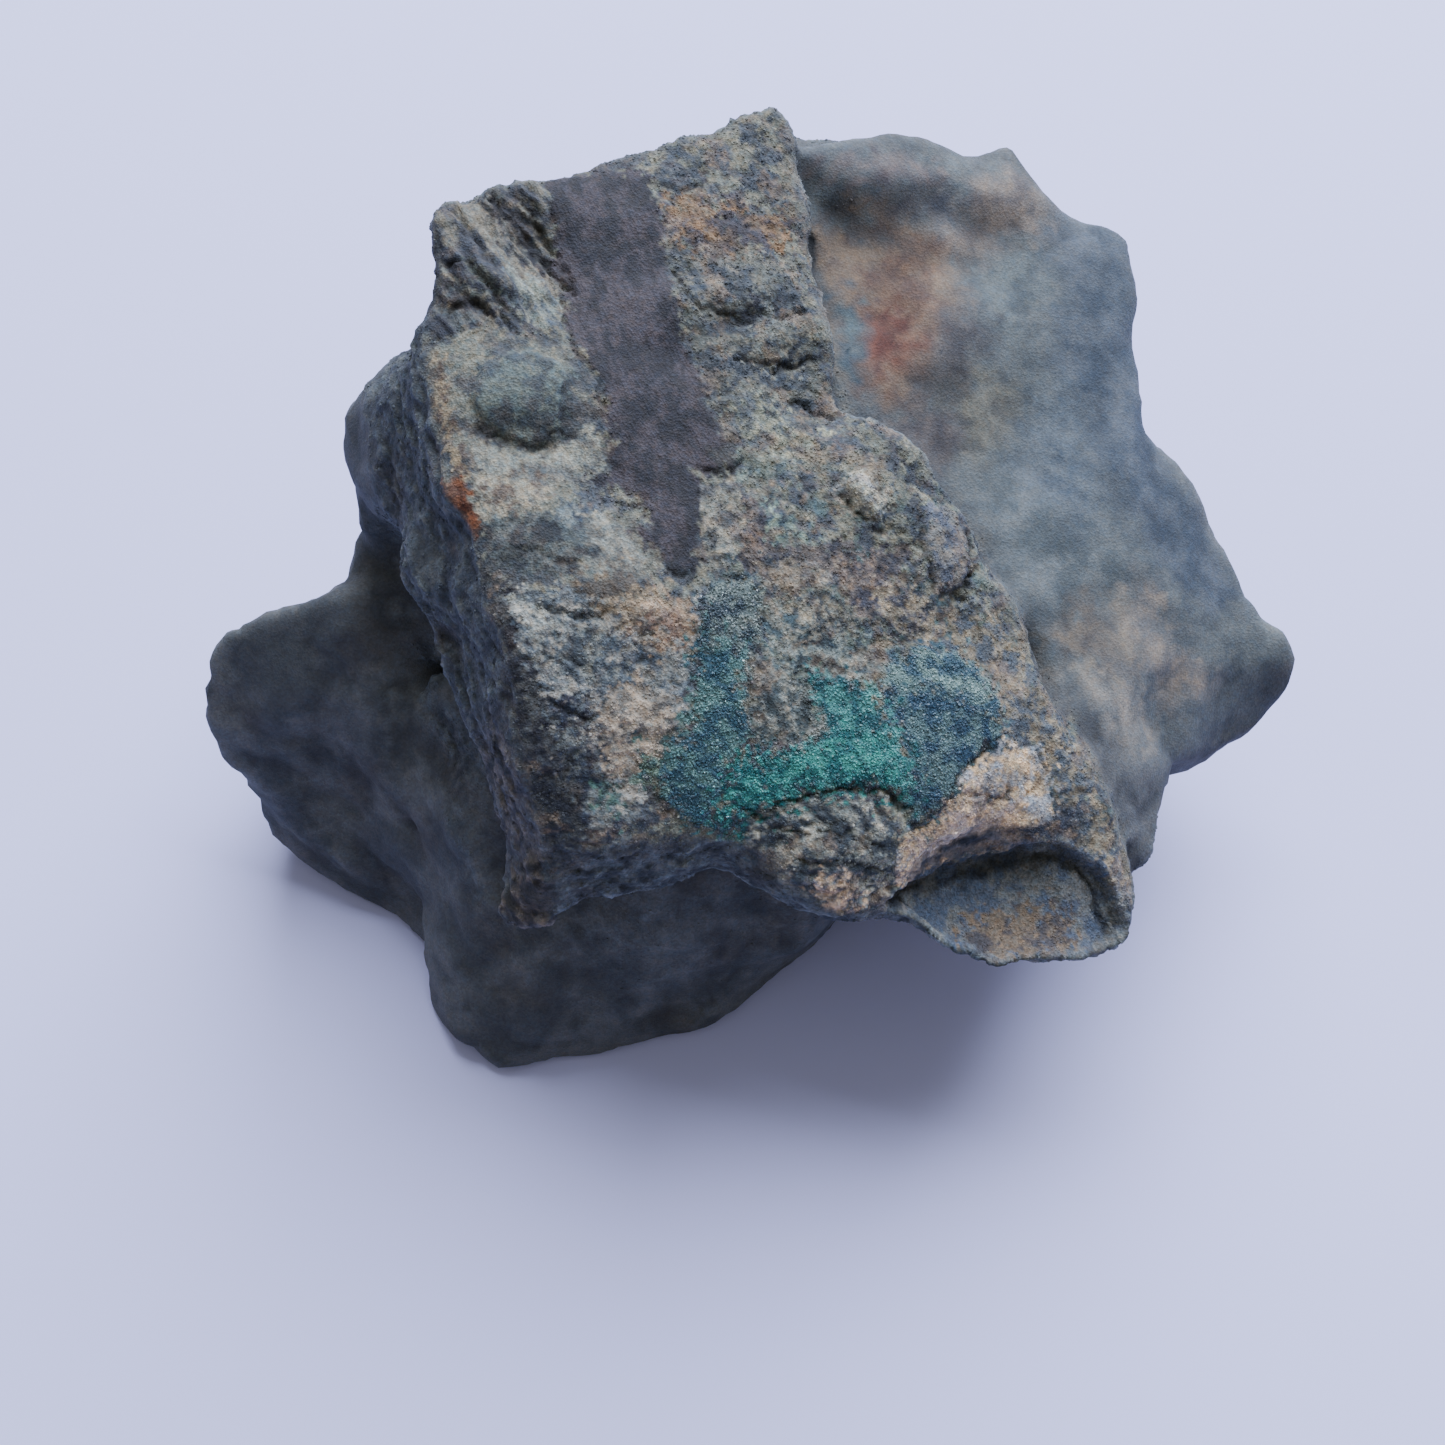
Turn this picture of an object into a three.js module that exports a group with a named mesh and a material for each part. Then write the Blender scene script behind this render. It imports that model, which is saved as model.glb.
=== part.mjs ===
// A hand-picked piece of copper-stained country rock with a crust of green paratacamite on its
// sloping upper face. The rock is one natural solid: a tilted crest slab that overhangs a dark
// foot, a lobe on the left, a lower flank on the right that ends in a free tip, and a scoop where
// a shell of rock has flaked off the lower edge. It stands on one flat broken face.
// Millimetres, +Z up, +X along the longest side, origin under the middle of the solid.
import * as THREE from "three";
import { ConvexHull } from "three/addons/math/ConvexHull.js";
import { ImprovedNoise } from "three/addons/math/ImprovedNoise.js";
import { mergeVertices } from "three/addons/utils/BufferGeometryUtils.js";

// Driving dimensions.
const CELL = 0.42; // sampling step of the surface
const TRIANGLES = 9400; // faces on the finished solid
const FILLET = 0.6; // rounding where two masses of rock meet
const BED = 1.7; // thickness of one bed in the crest slab
const BED_STEP = 0.3; // how far a soft bed weathers back
const WANDER = 0.45; // how far broken edges stray from straight
const LUMP = 0.3; // height of the broad lumps
const LUMP_SIZE = 5.2; // distance between broad lumps
const GRIT = 0.22; // height of the small lumps
const GRIT_SIZE = 2.3; // distance between small lumps
const PLUMP = 0.2; // swelling that makes up for the rounding of the edges
const EVENNESS = 1e-3; // how strongly long edges are kept from growing longer
const BED_NORMAL = new THREE.Vector3(0.22, -0.24, 0.95).normalize(); // beds dip with the crest face

// Corners of the convex masses that the rock is broken into, x y z.
const MASSES = {
  crestLeft: [
    [-11.6, 8.5, 25.4], [-7.7, 10.2, 24.4], [-3.2, 12.1, 23.2], [0.9, 14.2, 23.8],
    [1.9, 13.5, 23.5], [2.3, 9.2, 22.1], [3.1, 3.1, 20.3], [-5.5, 1.3, 22.5],
    [-11.0, 5.3, 24.1], [-11.9, 2.8, 23.6], [-11.5, 1.0, 23.0], [-10.7, -2.6, 21.9],
    [-9.7, -5.0, 21.3], [-8.6, -7.9, 20.2], [-7.9, -11.1, 17.9], [-7.4, -13.4, 15.2],
    [-2.4, -12.6, 14.9], [2.0, -5.0, 18.6], [-3.6, -8.8, 18.1], [-5.4, -13.2, 15.3],
    [-13.1, -1.9, 18.3], [-11.2, -5.5, 16.2], [-11.0, -7.1, 15.3], [-9.7, -10.2, 14.0],
    [-8.4, -13.8, 12.4], [-4.1, -13.6, 12.1], [-1.4, -12.8, 12.4],
    [-11.5, 7.5, 16.0], [1.0, 14.0, 17.0], [2.0, 3.0, 12.0], [0.0, -9.0, 10.0],
  ],
  peak: [
    [0.9, 15.1, 24.8], [-0.8, 14.2, 24.4], [2.0, 13.8, 24.0], [0.8, 12.0, 22.9],
    [-1.2, 12.4, 22.6], [1.2, 13.8, 21.5], [-1.6, 13.3, 23.2],
  ],
  spur: [
    [-9.4, -11.5, 13.6], [-9.5, -14.8, 11.2], [-7.8, -15.4, 10.9], [-6.8, -14.4, 12.0],
    [-7.3, -13.2, 15.2], [-8.2, -11.0, 15.5], [-7.6, -12.6, 11.4],
  ],
  spike: [
    [-9.9, 9.5, 25.5], [-9.3, 9.5, 25.4], [-8.7, 7.6, 24.8], [-9.9, 8.1, 24.6],
    [-10.3, 9.4, 24.0], [-8.6, 9.6, 24.0], [-9.0, 7.4, 23.8],
  ],
  crestRight: [
    [3.1, 3.1, 20.2], [5.8, 1.6, 19.3], [8.4, -0.4, 17.6], [8.7, -2.7, 17.0],
    [11.1, -6.6, 14.6], [13.5, -9.7, 12.2], [15.0, -11.9, 9.8], [14.6, -14.2, 9.1],
    [11.8, -15.2, 9.6], [9.2, -16.1, 10.2], [5.4, -14.3, 11.7], [3.5, -14.7, 12.5],
    [0.0, -12.6, 13.9], [2.0, -5.0, 18.6], [3.7, -9.6, 16.1], [9.4, -10.3, 13.6],
    [-2.2, -12.2, 14.8], [-1.1, -12.8, 12.3], [-3.6, -8.8, 18.0],
    [15.0, -11.0, 8.3], [12.0, -12.5, 7.2], [6.0, -13.0, 9.2], [3.5, -13.8, 10.8],
    [9.0, -3.0, 9.0], [3.0, 0.0, 10.0], [2.0, -9.0, 9.0],
  ],
  shoulder: [
    [-11.9, 3.4, 22.6], [-13.4, 5.1, 20.7], [-14.3, 5.1, 19.6], [-15.6, 4.4, 18.6],
    [-16.0, 2.9, 17.2], [-15.3, 2.0, 16.2], [-13.1, -1.5, 17.8], [-11.5, 1.0, 22.3],
    [-11.5, 6.5, 20.5], [-13.0, 8.0, 12.0], [-8.0, 5.0, 12.0], [-14.0, 2.0, 12.0],
  ],
  neck: [
    [-15.3, 2.0, 16.0], [-15.9, 0.3, 15.2], [-16.0, -0.8, 14.4], [-13.9, -2.6, 12.4],
    [-15.6, -2.3, 11.9], [-15.5, 1.5, 12.0], [-14.0, 4.0, 15.0], [-9.0, 0.0, 15.0],
    [-9.0, -3.0, 10.0], [-10.0, 4.0, 10.0],
  ],
  lobe: [
    [-15.9, -1.0, 14.2], [-17.6, -2.1, 12.4], [-19.9, -1.2, 12.3], [-22.5, -1.8, 10.8],
    [-22.2, -3.4, 8.9], [-22.0, -4.3, 7.1], [-21.3, -5.0, 3.6], [-20.5, -5.5, 1.0],
    [-19.7, -5.7, 0.0], [-18.3, -7.0, 0.0], [-14.2, -10.4, 0.0], [-15.6, -2.3, 11.9],
    [-15.4, -3.6, 9.6], [-14.3, -6.7, 6.6], [-13.6, -8.9, 4.4], [-18.0, 1.0, 0.0],
    [-19.4, 0.2, 7.5], [-14.5, 1.0, 12.5], [-10.0, 0.0, 12.0], [-10.0, -6.0, 0.0],
  ],
  foot: [
    [-14.3, -6.7, 6.6], [-13.6, -9.1, 4.5], [-13.1, -11.5, 2.0], [-13.3, -13.2, 0.0],
    [-11.8, -15.1, 1.0], [-10.4, -16.2, 0.0], [-6.1, -15.7, 0.0], [-2.8, -14.9, 0.0],
    [-0.3, -13.3, 0.0], [1.4, -11.5, 0.0], [4.3, -8.8, 0.0], [-10.9, -11.0, 5.7],
    [-7.6, -13.4, 5.0], [-4.3, -12.9, 5.9], [-0.3, -12.1, 6.1], [3.6, -11.2, 6.0],
    [-10.5, -7.0, 13.0], [-3.0, -10.5, 12.0], [4.0, -10.0, 10.0],
    [-14.6, -4.0, 9.8], [-11.0, -3.0, 14.0], [-14.0, -8.6, 0.0], [-9.0, -4.0, 0.0],
    [4.0, -4.0, 0.0],
  ],
  core: [
    [-11.4, 7.4, 20.0], [-10.0, -6.0, 14.0], [-6.0, -11.0, 12.0], [4.0, -10.0, 10.0],
    [9.0, -4.0, 11.0], [12.0, 5.0, 13.0], [8.0, 13.0, 18.0], [0.0, 13.5, 20.0],
    [-16.0, 1.0, 0.0], [-13.0, 9.0, 0.0], [-5.0, 13.5, 0.0], [3.0, 13.0, 0.0],
    [9.0, 8.0, 0.0], [9.5, -1.0, 0.0], [4.3, -8.8, 0.0], [-12.0, -11.0, 0.0],
  ],
  rim: [
    [1.9, 13.7, 22.9], [6.1, 15.1, 22.0], [8.6, 14.9, 21.1], [10.8, 15.6, 20.2],
    [13.1, 13.8, 19.5], [12.0, 11.5, 18.8], [4.0, 11.6, 20.9], [2.0, 12.0, 18.0],
    [3.0, 17.2, 12.0], [11.0, 17.0, 12.0], [12.5, 12.0, 12.0],
  ],
  flank: [
    [1.0, 12.0, 21.0], [10.8, 14.6, 19.8], [15.8, 13.3, 18.4], [15.4, 10.6, 17.4],
    [16.0, 6.6, 15.7], [3.0, 8.8, 19.6], [4.6, 1.1, 17.1],
    [9.8, -2.5, 14.9], [14.1, -1.2, 13.3], [15.5, 12.5, 11.5], [16.0, 4.0, 8.0],
    [9.0, 9.0, 2.0], [10.0, 0.0, 4.0], [4.0, 14.0, 6.0],
    [1.5, 4.0, 18.1], [2.0, 1.5, 17.2],
  ],
  tip: [
    [16.0, 6.6, 15.7], [17.8, 4.2, 13.8], [19.8, 1.9, 12.5], [20.6, -0.5, 11.4], [14.1, -1.2, 13.3],
    [9.8, -2.3, 14.9], [12.5, -6.0, 13.2], [17.9, -6.1, 8.3], [21.0, -4.0, 7.9],
    [17.8, -5.4, 6.6], [20.0, -1.0, 5.8], [16.0, 4.0, 6.0], [11.0, -6.0, 5.5],
    [10.0, 2.0, 3.0],
  ],
  nose: [
    [19.4, 0.9, 11.7], [22.2, -1.2, 10.9], [22.6, -2.6, 10.1], [21.0, -4.0, 7.9],
    [21.5, -1.2, 8.2], [17.5, -4.0, 9.0], [18.0, 0.0, 8.0], [17.5, -3.0, 11.2],
  ],
  cheek: [
    [11.0, -6.6, 14.0], [13.4, -9.5, 11.8], [15.9, -10.8, 9.0], [16.4, -8.6, 8.9],
    [17.3, -6.6, 9.4], [13.5, -5.0, 12.7], [15.5, -10.0, 7.4], [12.0, -11.0, 6.2],
    [9.0, -6.0, 6.0], [15.0, -5.0, 6.0],
  ],
  back: [
    [-11.4, 8.3, 24.4], [-3.2, 12.7, 22.8], [1.0, 14.6, 22.8], [6.1, 15.2, 21.0],
    [13.0, 13.6, 17.8], [-13.0, 9.2, 13.0], [-9.0, 13.2, 9.0], [0.0, 17.0, 9.0],
    [9.0, 17.2, 9.5], [14.0, 14.2, 12.0], [-12.5, 9.5, 0.0], [-6.0, 13.8, 0.0],
    [3.0, 14.0, 0.0], [9.0, 9.0, 0.0], [-8.0, 0.0, 8.0], [6.0, 4.0, 8.0],
  ],
};

// The bowl left by the shell of rock that flaked off the lower edge.
const SCOOP = { middle: [10.0, -14.4, 12.8], radii: [4.2, 3.1, 2.6] };

// Raised knots (height above zero) and hollows (below zero) of the surface.
const KNOTS = [
  { at: [-8.3, 1.5, 22.9], reach: 1.8, height: 0.5 },
  { at: [-10.4, 8.9, 25.1], reach: 0.6, height: -0.9 },
  { at: [-11.6, 6.0, 23.6], reach: 1.6, height: -0.4 },
  { at: [-2.3, 13.0, 23.6], reach: 0.8, height: 0.35 },
  { at: [-3.8, 12.1, 23.5], reach: 0.9, height: -0.35 },
  { at: [-9.6, 5.6, 24.5], reach: 1.3, height: 0.35 },
  { at: [-4.6, 7.6, 23.7], reach: 2.6, height: -0.25 },
  { at: [-4.2, 3.4, 22.9], reach: 2.0, height: -0.2 },
  { at: [0.2, 6.9, 22.3], reach: 1.2, height: 0.45 },
  { at: [1.3, 5.0, 21.6], reach: 1.0, height: 0.4 },
  { at: [-2.4, 5.6, 22.7], reach: 0.9, height: 0.25 },
  { at: [-0.8, 0.2, 20.9], reach: 0.9, height: 0.3 },
  { at: [4.2, -0.2, 19.2], reach: 0.8, height: 0.5 },
  { at: [7.4, -2.4, 17.6], reach: 1.1, height: 0.45 },
  { at: [5.3, -0.9, 18.7], reach: 1.0, height: 0.3 },
  { at: [-5.2, -5.4, 20.3], reach: 1.6, height: 0.35 },
  { at: [-6.3, -9.6, 18.6], reach: 1.3, height: 0.3 },
  { at: [2.6, -12.6, 14.2], reach: 1.5, height: 0.4 },
  { at: [8.9, -9.3, 14.3], reach: 1.6, height: 0.3 },
  { at: [5.4, -14.9, 11.5], reach: 1.5, height: -1.0 },
  { at: [-12.4, -3.2, 18.2], reach: 1.2, height: 0.5 },
  { at: [-10.9, -5.9, 17.8], reach: 1.0, height: -0.5 },
  { at: [-10.1, -9.7, 15.3], reach: 1.0, height: -0.4 },
  { at: [-10.8, -2.4, 22.0], reach: 0.8, height: 0.45 },
  { at: [8.6, 8.6, 18.6], reach: 2.6, height: 0.5 },
  { at: [5.6, 13.0, 21.4], reach: 1.6, height: 0.4 },
  { at: [8.0, 3.2, 16.7], reach: 2.2, height: -0.5 },
  { at: [13.6, 9.0, 17.2], reach: 2.2, height: 0.4 },
  { at: [14.6, 2.2, 14.6], reach: 2.4, height: 0.5 },
  { at: [9.3, 15.2, 21.0], reach: 1.0, height: -0.35 },
  { at: [16.6, 5.6, 15.0], reach: 1.2, height: -0.35 },
  { at: [7.9, -15.9, 10.8], reach: 0.9, height: -0.4 },
  { at: [-17.4, -1.6, 12.6], reach: 1.0, height: -0.4 },
  { at: [-18.6, -3.4, 9.4], reach: 2.2, height: 0.3 },
  { at: [-12.6, -6.2, 10.0], reach: 2.0, height: -0.7 },
  { at: [-7.0, -11.6, 8.6], reach: 2.4, height: -0.8 },
  { at: [0.0, -11.0, 8.4], reach: 2.2, height: -0.5 },
  { at: [-7.0, 12.5, 12.0], reach: 3.5, height: -0.9 },
  { at: [6.0, 17.0, 16.0], reach: 3.0, height: -0.8 },
  { at: [-1.0, 16.5, 6.0], reach: 3.0, height: 0.6 },
  { at: [11.5, 14.0, 6.0], reach: 3.0, height: -1.0 },
  { at: [17.5, -1.5, 6.5], reach: 1.8, height: -0.6 },
  { at: [9.0, -10.5, 7.6], reach: 2.2, height: -0.6 },
];

// Crevices: lines along which the surface is cut in by a depth over a width.
const CREVICES = [
  { depth: 0.6, width: 0.5, line: [[-9.1, -0.1, 22.7], [-7.7, -0.4, 22.4], [-6.7, 0.1, 22.4]] },
  { depth: 0.5, width: 0.5, line: [[-9.1, 8.9, 24.9], [-8.7, 7.4, 24.5], [-8.2, 6.1, 24.1]] },
  { depth: 0.6, width: 0.5, line: [[-8.3, 7.9, 24.6], [-7.4, 6.7, 24.1], [-6.5, 5.0, 23.6]] },
  { depth: 0.4, width: 0.45, line: [[-11.1, 4.4, 24.1], [-9.4, 4.1, 23.9], [-8.0, 4.4, 23.6]] },
  { depth: 0.5, width: 0.4, line: [[-2.3, 6.6, 22.9], [-2.0, 5.8, 22.6], [-1.5, 5.3, 22.4]] },
  { depth: 0.6, width: 0.5, line: [[-1.0, 5.2, 22.1], [0.4, 5.7, 21.9], [1.3, 6.0, 21.8]] },
  { depth: 0.5, width: 0.5, line: [[0.2, 3.8, 21.5], [1.2, 4.0, 21.3], [2.3, 4.5, 21.0]] },
  { depth: 0.45, width: 0.5, line: [[1.8, 2.9, 20.7], [3.0, 2.3, 20.3]] },
  { depth: 0.5, width: 0.4, line: [[-0.4, -10.9, 15.4], [1.5, -11.4, 14.7], [4.8, -11.0, 14.8]] },
  { depth: 0.4, width: 0.4, line: [[4.8, -11.0, 14.8], [6.3, -11.6, 13.8]] },
  { depth: 0.7, width: 0.8, line: [[-10.0, 10.6, 18.0], [-4.0, 14.2, 15.0], [2.0, 16.6, 14.5], [8.0, 17.2, 15.5]] },
  { depth: 0.6, width: 0.7, line: [[5.2, 12.2, 21.2], [8.0, 12.6, 20.6], [10.5, 12.2, 19.6]] },
  { depth: 0.7, width: 1.8, line: [[-17.6, -4.6, 7.6], [-16.9, -6.6, 4.6], [-15.6, -8.7, 1.6]] },
  { depth: 2.3, width: 1.4, line: [[-14.4, -0.6, 14.6], [-13.0, -2.4, 14.0], [-11.9, -4.6, 13.2], [-11.2, -6.8, 12.4], [-10.5, -9.0, 11.4], [-10.0, -11.2, 9.8]] },
  { depth: 2.2, width: 1.3, line: [[-10.0, -11.2, 9.8], [-8.2, -12.9, 9.9], [-5.8, -12.8, 10.2], [-2.8, -12.3, 10.3], [0.2, -11.7, 10.2], [2.6, -11.2, 9.6]] },
];

const noise = new ImprovedNoise();
const vector = ([x, y, z]) => new THREE.Vector3(x, y, z);
const clamp = THREE.MathUtils.clamp;
const grain = (p, size, seed) => noise.noise(p.x / size + seed, p.y / size - seed, p.z / size + seed);

// The outward planes of the convex hull of a list of corners.
function planesOf(corners) {
  const hull = new ConvexHull().setFromPoints(corners.map(vector));
  return hull.faces.map(({ normal, midpoint }) => ({ normal, offset: normal.dot(midpoint) }));
}

const masses = Object.values(MASSES).map(planesOf);

// The plane of one convex mass that a point is furthest out from.
function outermost(planes, p) {
  let best = { distance: -Infinity, normal: null };
  for (const { normal, offset } of planes) {
    const distance = normal.dot(p) - offset;
    if (distance > best.distance) best = { distance, normal };
  }
  return best;
}

// Distance to the welded masses, negative inside, and how far the nearest face is from level bedding.
function bareRock(p) {
  let distance = 1000;
  let nearest = { distance: 1000 };
  for (const planes of masses) {
    const outer = outermost(planes, p);
    distance = weld(distance, outer.distance, FILLET);
    if (outer.distance < nearest.distance) nearest = outer;
  }
  return { distance, wall: 1 - THREE.MathUtils.smoothstep(nearest.normal.dot(BED_NORMAL), 0.5, 0.85) };
}

// Union of two distances, with a fillet of the given width.
function weld(a, b, width) {
  const blend = clamp(0.5 + (0.5 * (b - a)) / width, 0, 1);
  return b + (a - b) * blend - width * blend * (1 - blend);
}

function scoopDistance(p) {
  const [x, y, z] = SCOOP.radii;
  const q = p.clone().sub(vector(SCOOP.middle)).divide(new THREE.Vector3(x, y, z));
  return (q.length() - 1) * Math.min(x, y, z);
}

function knotHeight(p) {
  let height = 0;
  for (const knot of KNOTS) height += knot.height * Math.exp(-p.distanceToSquared(knot.centre) / knot.reach ** 2);
  return height;
}

function creviceDepth(p) {
  let depth = 0;
  for (const { depth: most, width, segments } of CREVICES) {
    const near = Math.min(...segments.map((s) => s.closestPointToPoint(p, true, closest).distanceToSquared(p)));
    if (near < 9 * width * width) depth = Math.max(depth, most * Math.exp(-near / (width * width)));
  }
  return depth;
}

const closest = new THREE.Vector3();
for (const knot of KNOTS) knot.centre = vector(knot.at);
for (const crevice of CREVICES) {
  const points = crevice.line.map(vector);
  crevice.segments = points.slice(1).map((end, n) => new THREE.Line3(points[n], end));
}

// Soft beds stand back from the broken walls, by a saw-tooth of the height across the beds.
function bedStep(p) {
  const height = p.dot(BED_NORMAL) / BED + 0.5 * grain(p, 7, 3.1);
  const part = height - Math.floor(height);
  return BED_STEP * (part < 0.75 ? part / 0.75 : (1 - part) / 0.25);
}

function rockDistance(p) {
  const strayed = p.clone();
  strayed.x += WANDER * grain(p, 3.1, 11.3);
  strayed.y += WANDER * grain(p, 3.1, 23.7);
  strayed.z += 0.5 * WANDER * grain(p, 3.1, 37.9);
  const bare = bareRock(strayed);
  if (Math.abs(bare.distance) > 3) return bare.distance;
  const relief = LUMP * grain(p, LUMP_SIZE, 5.3) + GRIT * grain(p, GRIT_SIZE, 8.9) + knotHeight(p);
  const cut = bare.wall * bedStep(p) + creviceDepth(p);
  return Math.max(bare.distance - relief + cut - PLUMP, -scoopDistance(strayed));
}

// The surface is sampled on a cubic grid of points.
class Grid {
  constructor(low, high, cell) {
    this.low = low;
    this.cell = cell;
    this.counts = [0, 1, 2].map((axis) => Math.ceil((high[axis] - low[axis]) / cell) + 1);
    this.strides = [1, this.counts[0], this.counts[0] * this.counts[1]];
    this.size = this.counts[0] * this.counts[1] * this.counts[2];
    this.values = new Float64Array(this.size);
  }

  place(n) {
    const [nx, ny] = this.counts;
    const steps = [n % nx, Math.floor(n / nx) % ny, Math.floor(n / (nx * ny))];
    return steps.map((step, axis) => this.low[axis] + step * this.cell);
  }

  sample(distance) {
    for (let n = 0; n < this.size; n++) this.values[n] = distance(vector(this.place(n)));
  }

  // Rounds off sharp creases by averaging every point with its neighbours along each axis.
  weather() {
    for (const stride of this.strides) {
      const before = this.values.slice();
      for (let n = stride; n < this.size - stride; n++)
        this.values[n] = (before[n - stride] + 6 * before[n] + before[n + stride]) / 8;
    }
  }

  // Cuts the rock off level at z = 0.
  level() {
    for (let n = 0; n < this.size; n++) this.values[n] = Math.max(this.values[n], -this.place(n)[2]);
  }
}

// Marching tetrahedra: each grid cell is six tetrahedra round its long diagonal.
const TETRAHEDRA = [[0, 1, 3, 7], [0, 3, 2, 7], [0, 2, 6, 7], [0, 6, 4, 7], [0, 4, 5, 7], [0, 5, 1, 7]];

function surfaceOf(grid) {
  const { values, counts, strides, size } = grid;
  const points = [];
  const triangles = [];
  const crossings = new Map();
  const crossing = (a, b) => {
    const key = Math.min(a, b) * size + Math.max(a, b);
    if (!crossings.has(key)) {
      const share = clamp(values[a] / (values[a] - values[b]), 0.02, 0.98);
      crossings.set(key, points.length);
      points.push(vector(grid.place(a)).lerp(vector(grid.place(b)), share));
    }
    return crossings.get(key);
  };
  const corner = [0, 1, 2, 3, 4, 5, 6, 7].map(
    (c) => (c & 1) * strides[0] + ((c >> 1) & 1) * strides[1] + (c >> 2) * strides[2],
  );
  const last = counts.map((count) => count - 1);
  for (let n = 0; n < size; n++) {
    const [i, j, k] = [n % counts[0], Math.floor(n / counts[0]) % counts[1], Math.floor(n / strides[2])];
    if (i === last[0] || j === last[1] || k === last[2]) continue;
    for (const tetrahedron of TETRAHEDRA) {
      const c = tetrahedron.map((m) => n + corner[m]);
      const inside = c.filter((m) => values[m] < 0);
      if (inside.length === 0 || inside.length === 4) continue;
      const outside = c.filter((m) => values[m] >= 0);
      const ring = ringOf(inside, outside, crossing);
      if (!facesOut(ring.map((m) => points[m]), vector(grid.place(outside[0])))) ring.reverse();
      for (let m = 2; m < ring.length; m++) triangles.push([ring[0], ring[m - 1], ring[m]]);
    }
  }
  return { points, triangles };
}

// The three or four crossings round one tetrahedron, in order.
function ringOf(inside, outside, crossing) {
  if (inside.length === 1) return outside.map((m) => crossing(inside[0], m));
  if (outside.length === 1) return inside.map((m) => crossing(outside[0], m));
  const [a, b] = inside;
  const [c, d] = outside;
  return [crossing(a, c), crossing(a, d), crossing(b, d), crossing(b, c)];
}

function facesOut([a, b, c], outer) {
  const normal = b.clone().sub(a).cross(c.clone().sub(a));
  return normal.dot(outer.clone().sub(a)) > 0;
}

// Keeps the outer skin and leaves out the skins of pockets inside.
function outerSkin({ points, triangles }) {
  const leader = points.map((_, n) => n);
  const find = (n) => {
    while (leader[n] !== n) n = leader[n] = leader[leader[n]];
    return n;
  };
  for (const [a, b, c] of triangles) {
    leader[find(a)] = find(b);
    leader[find(b)] = find(c);
  }
  const sizes = new Map();
  for (const [a] of triangles) sizes.set(find(a), (sizes.get(find(a)) ?? 0) + 1);
  const largest = [...sizes].reduce((best, entry) => (entry[1] > best[1] ? entry : best))[0];
  return { points, triangles: triangles.filter(([a]) => find(a) === largest) };
}

// Squared distance to a set of planes, as the ten sums of their products.
function quadricOf(a, b, c) {
  const normal = b.clone().sub(a).cross(c.clone().sub(a));
  const area = normal.length() / 2;
  if (area < 1e-9) return new Float64Array(10);
  const { x, y, z } = normal.normalize();
  const w = -normal.dot(a);
  return new Float64Array([x * x, x * y, x * z, x * w, y * y, y * z, y * w, z * z, z * w, w * w].map((q) => q * area));
}

function quadricError(q, { x, y, z }) {
  const square = q[0] * x * x + q[4] * y * y + q[7] * z * z;
  const cross = q[1] * x * y + q[2] * x * z + q[5] * y * z;
  const linear = q[3] * x + q[6] * y + q[8] * z;
  return Math.max(square + 2 * cross + 2 * linear + q[9], 0);
}

// The point nearest to all of the planes, or null where they don't fix one.
function quadricPoint(q) {
  const matrix = new THREE.Matrix3().set(q[0], q[1], q[2], q[1], q[4], q[5], q[2], q[5], q[7]);
  const trace = q[0] + q[4] + q[7];
  if (matrix.determinant() < 1e-4 * trace ** 3) return null;
  return new THREE.Vector3(-q[3], -q[6], -q[8]).applyMatrix3(matrix.invert());
}

// Twice the area of a triangle over the square of its longest side.
function shapeOf([a, b, c]) {
  const longest = Math.max(a.distanceToSquared(b), b.distanceToSquared(c), c.distanceToSquared(a));
  return b.clone().sub(a).cross(c.clone().sub(a)).length() / longest;
}

class Heap {
  constructor() {
    this.items = [];
  }

  push(item) {
    const { items } = this;
    let n = items.push(item) - 1;
    while (n > 0 && items[(n - 1) >> 1].cost > item.cost) {
      items[n] = items[(n - 1) >> 1];
      n = (n - 1) >> 1;
    }
    items[n] = item;
  }

  pop() {
    const { items } = this;
    const top = items[0];
    const item = items.pop();
    if (!items.length) return top;
    let n = 0;
    for (let child = 1; child < items.length; child = 2 * n + 1) {
      if (child + 1 < items.length && items[child + 1].cost < items[child].cost) child++;
      if (items[child].cost >= item.cost) break;
      items[n] = items[child];
      n = child;
    }
    items[n] = item;
    return top;
  }
}

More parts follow.
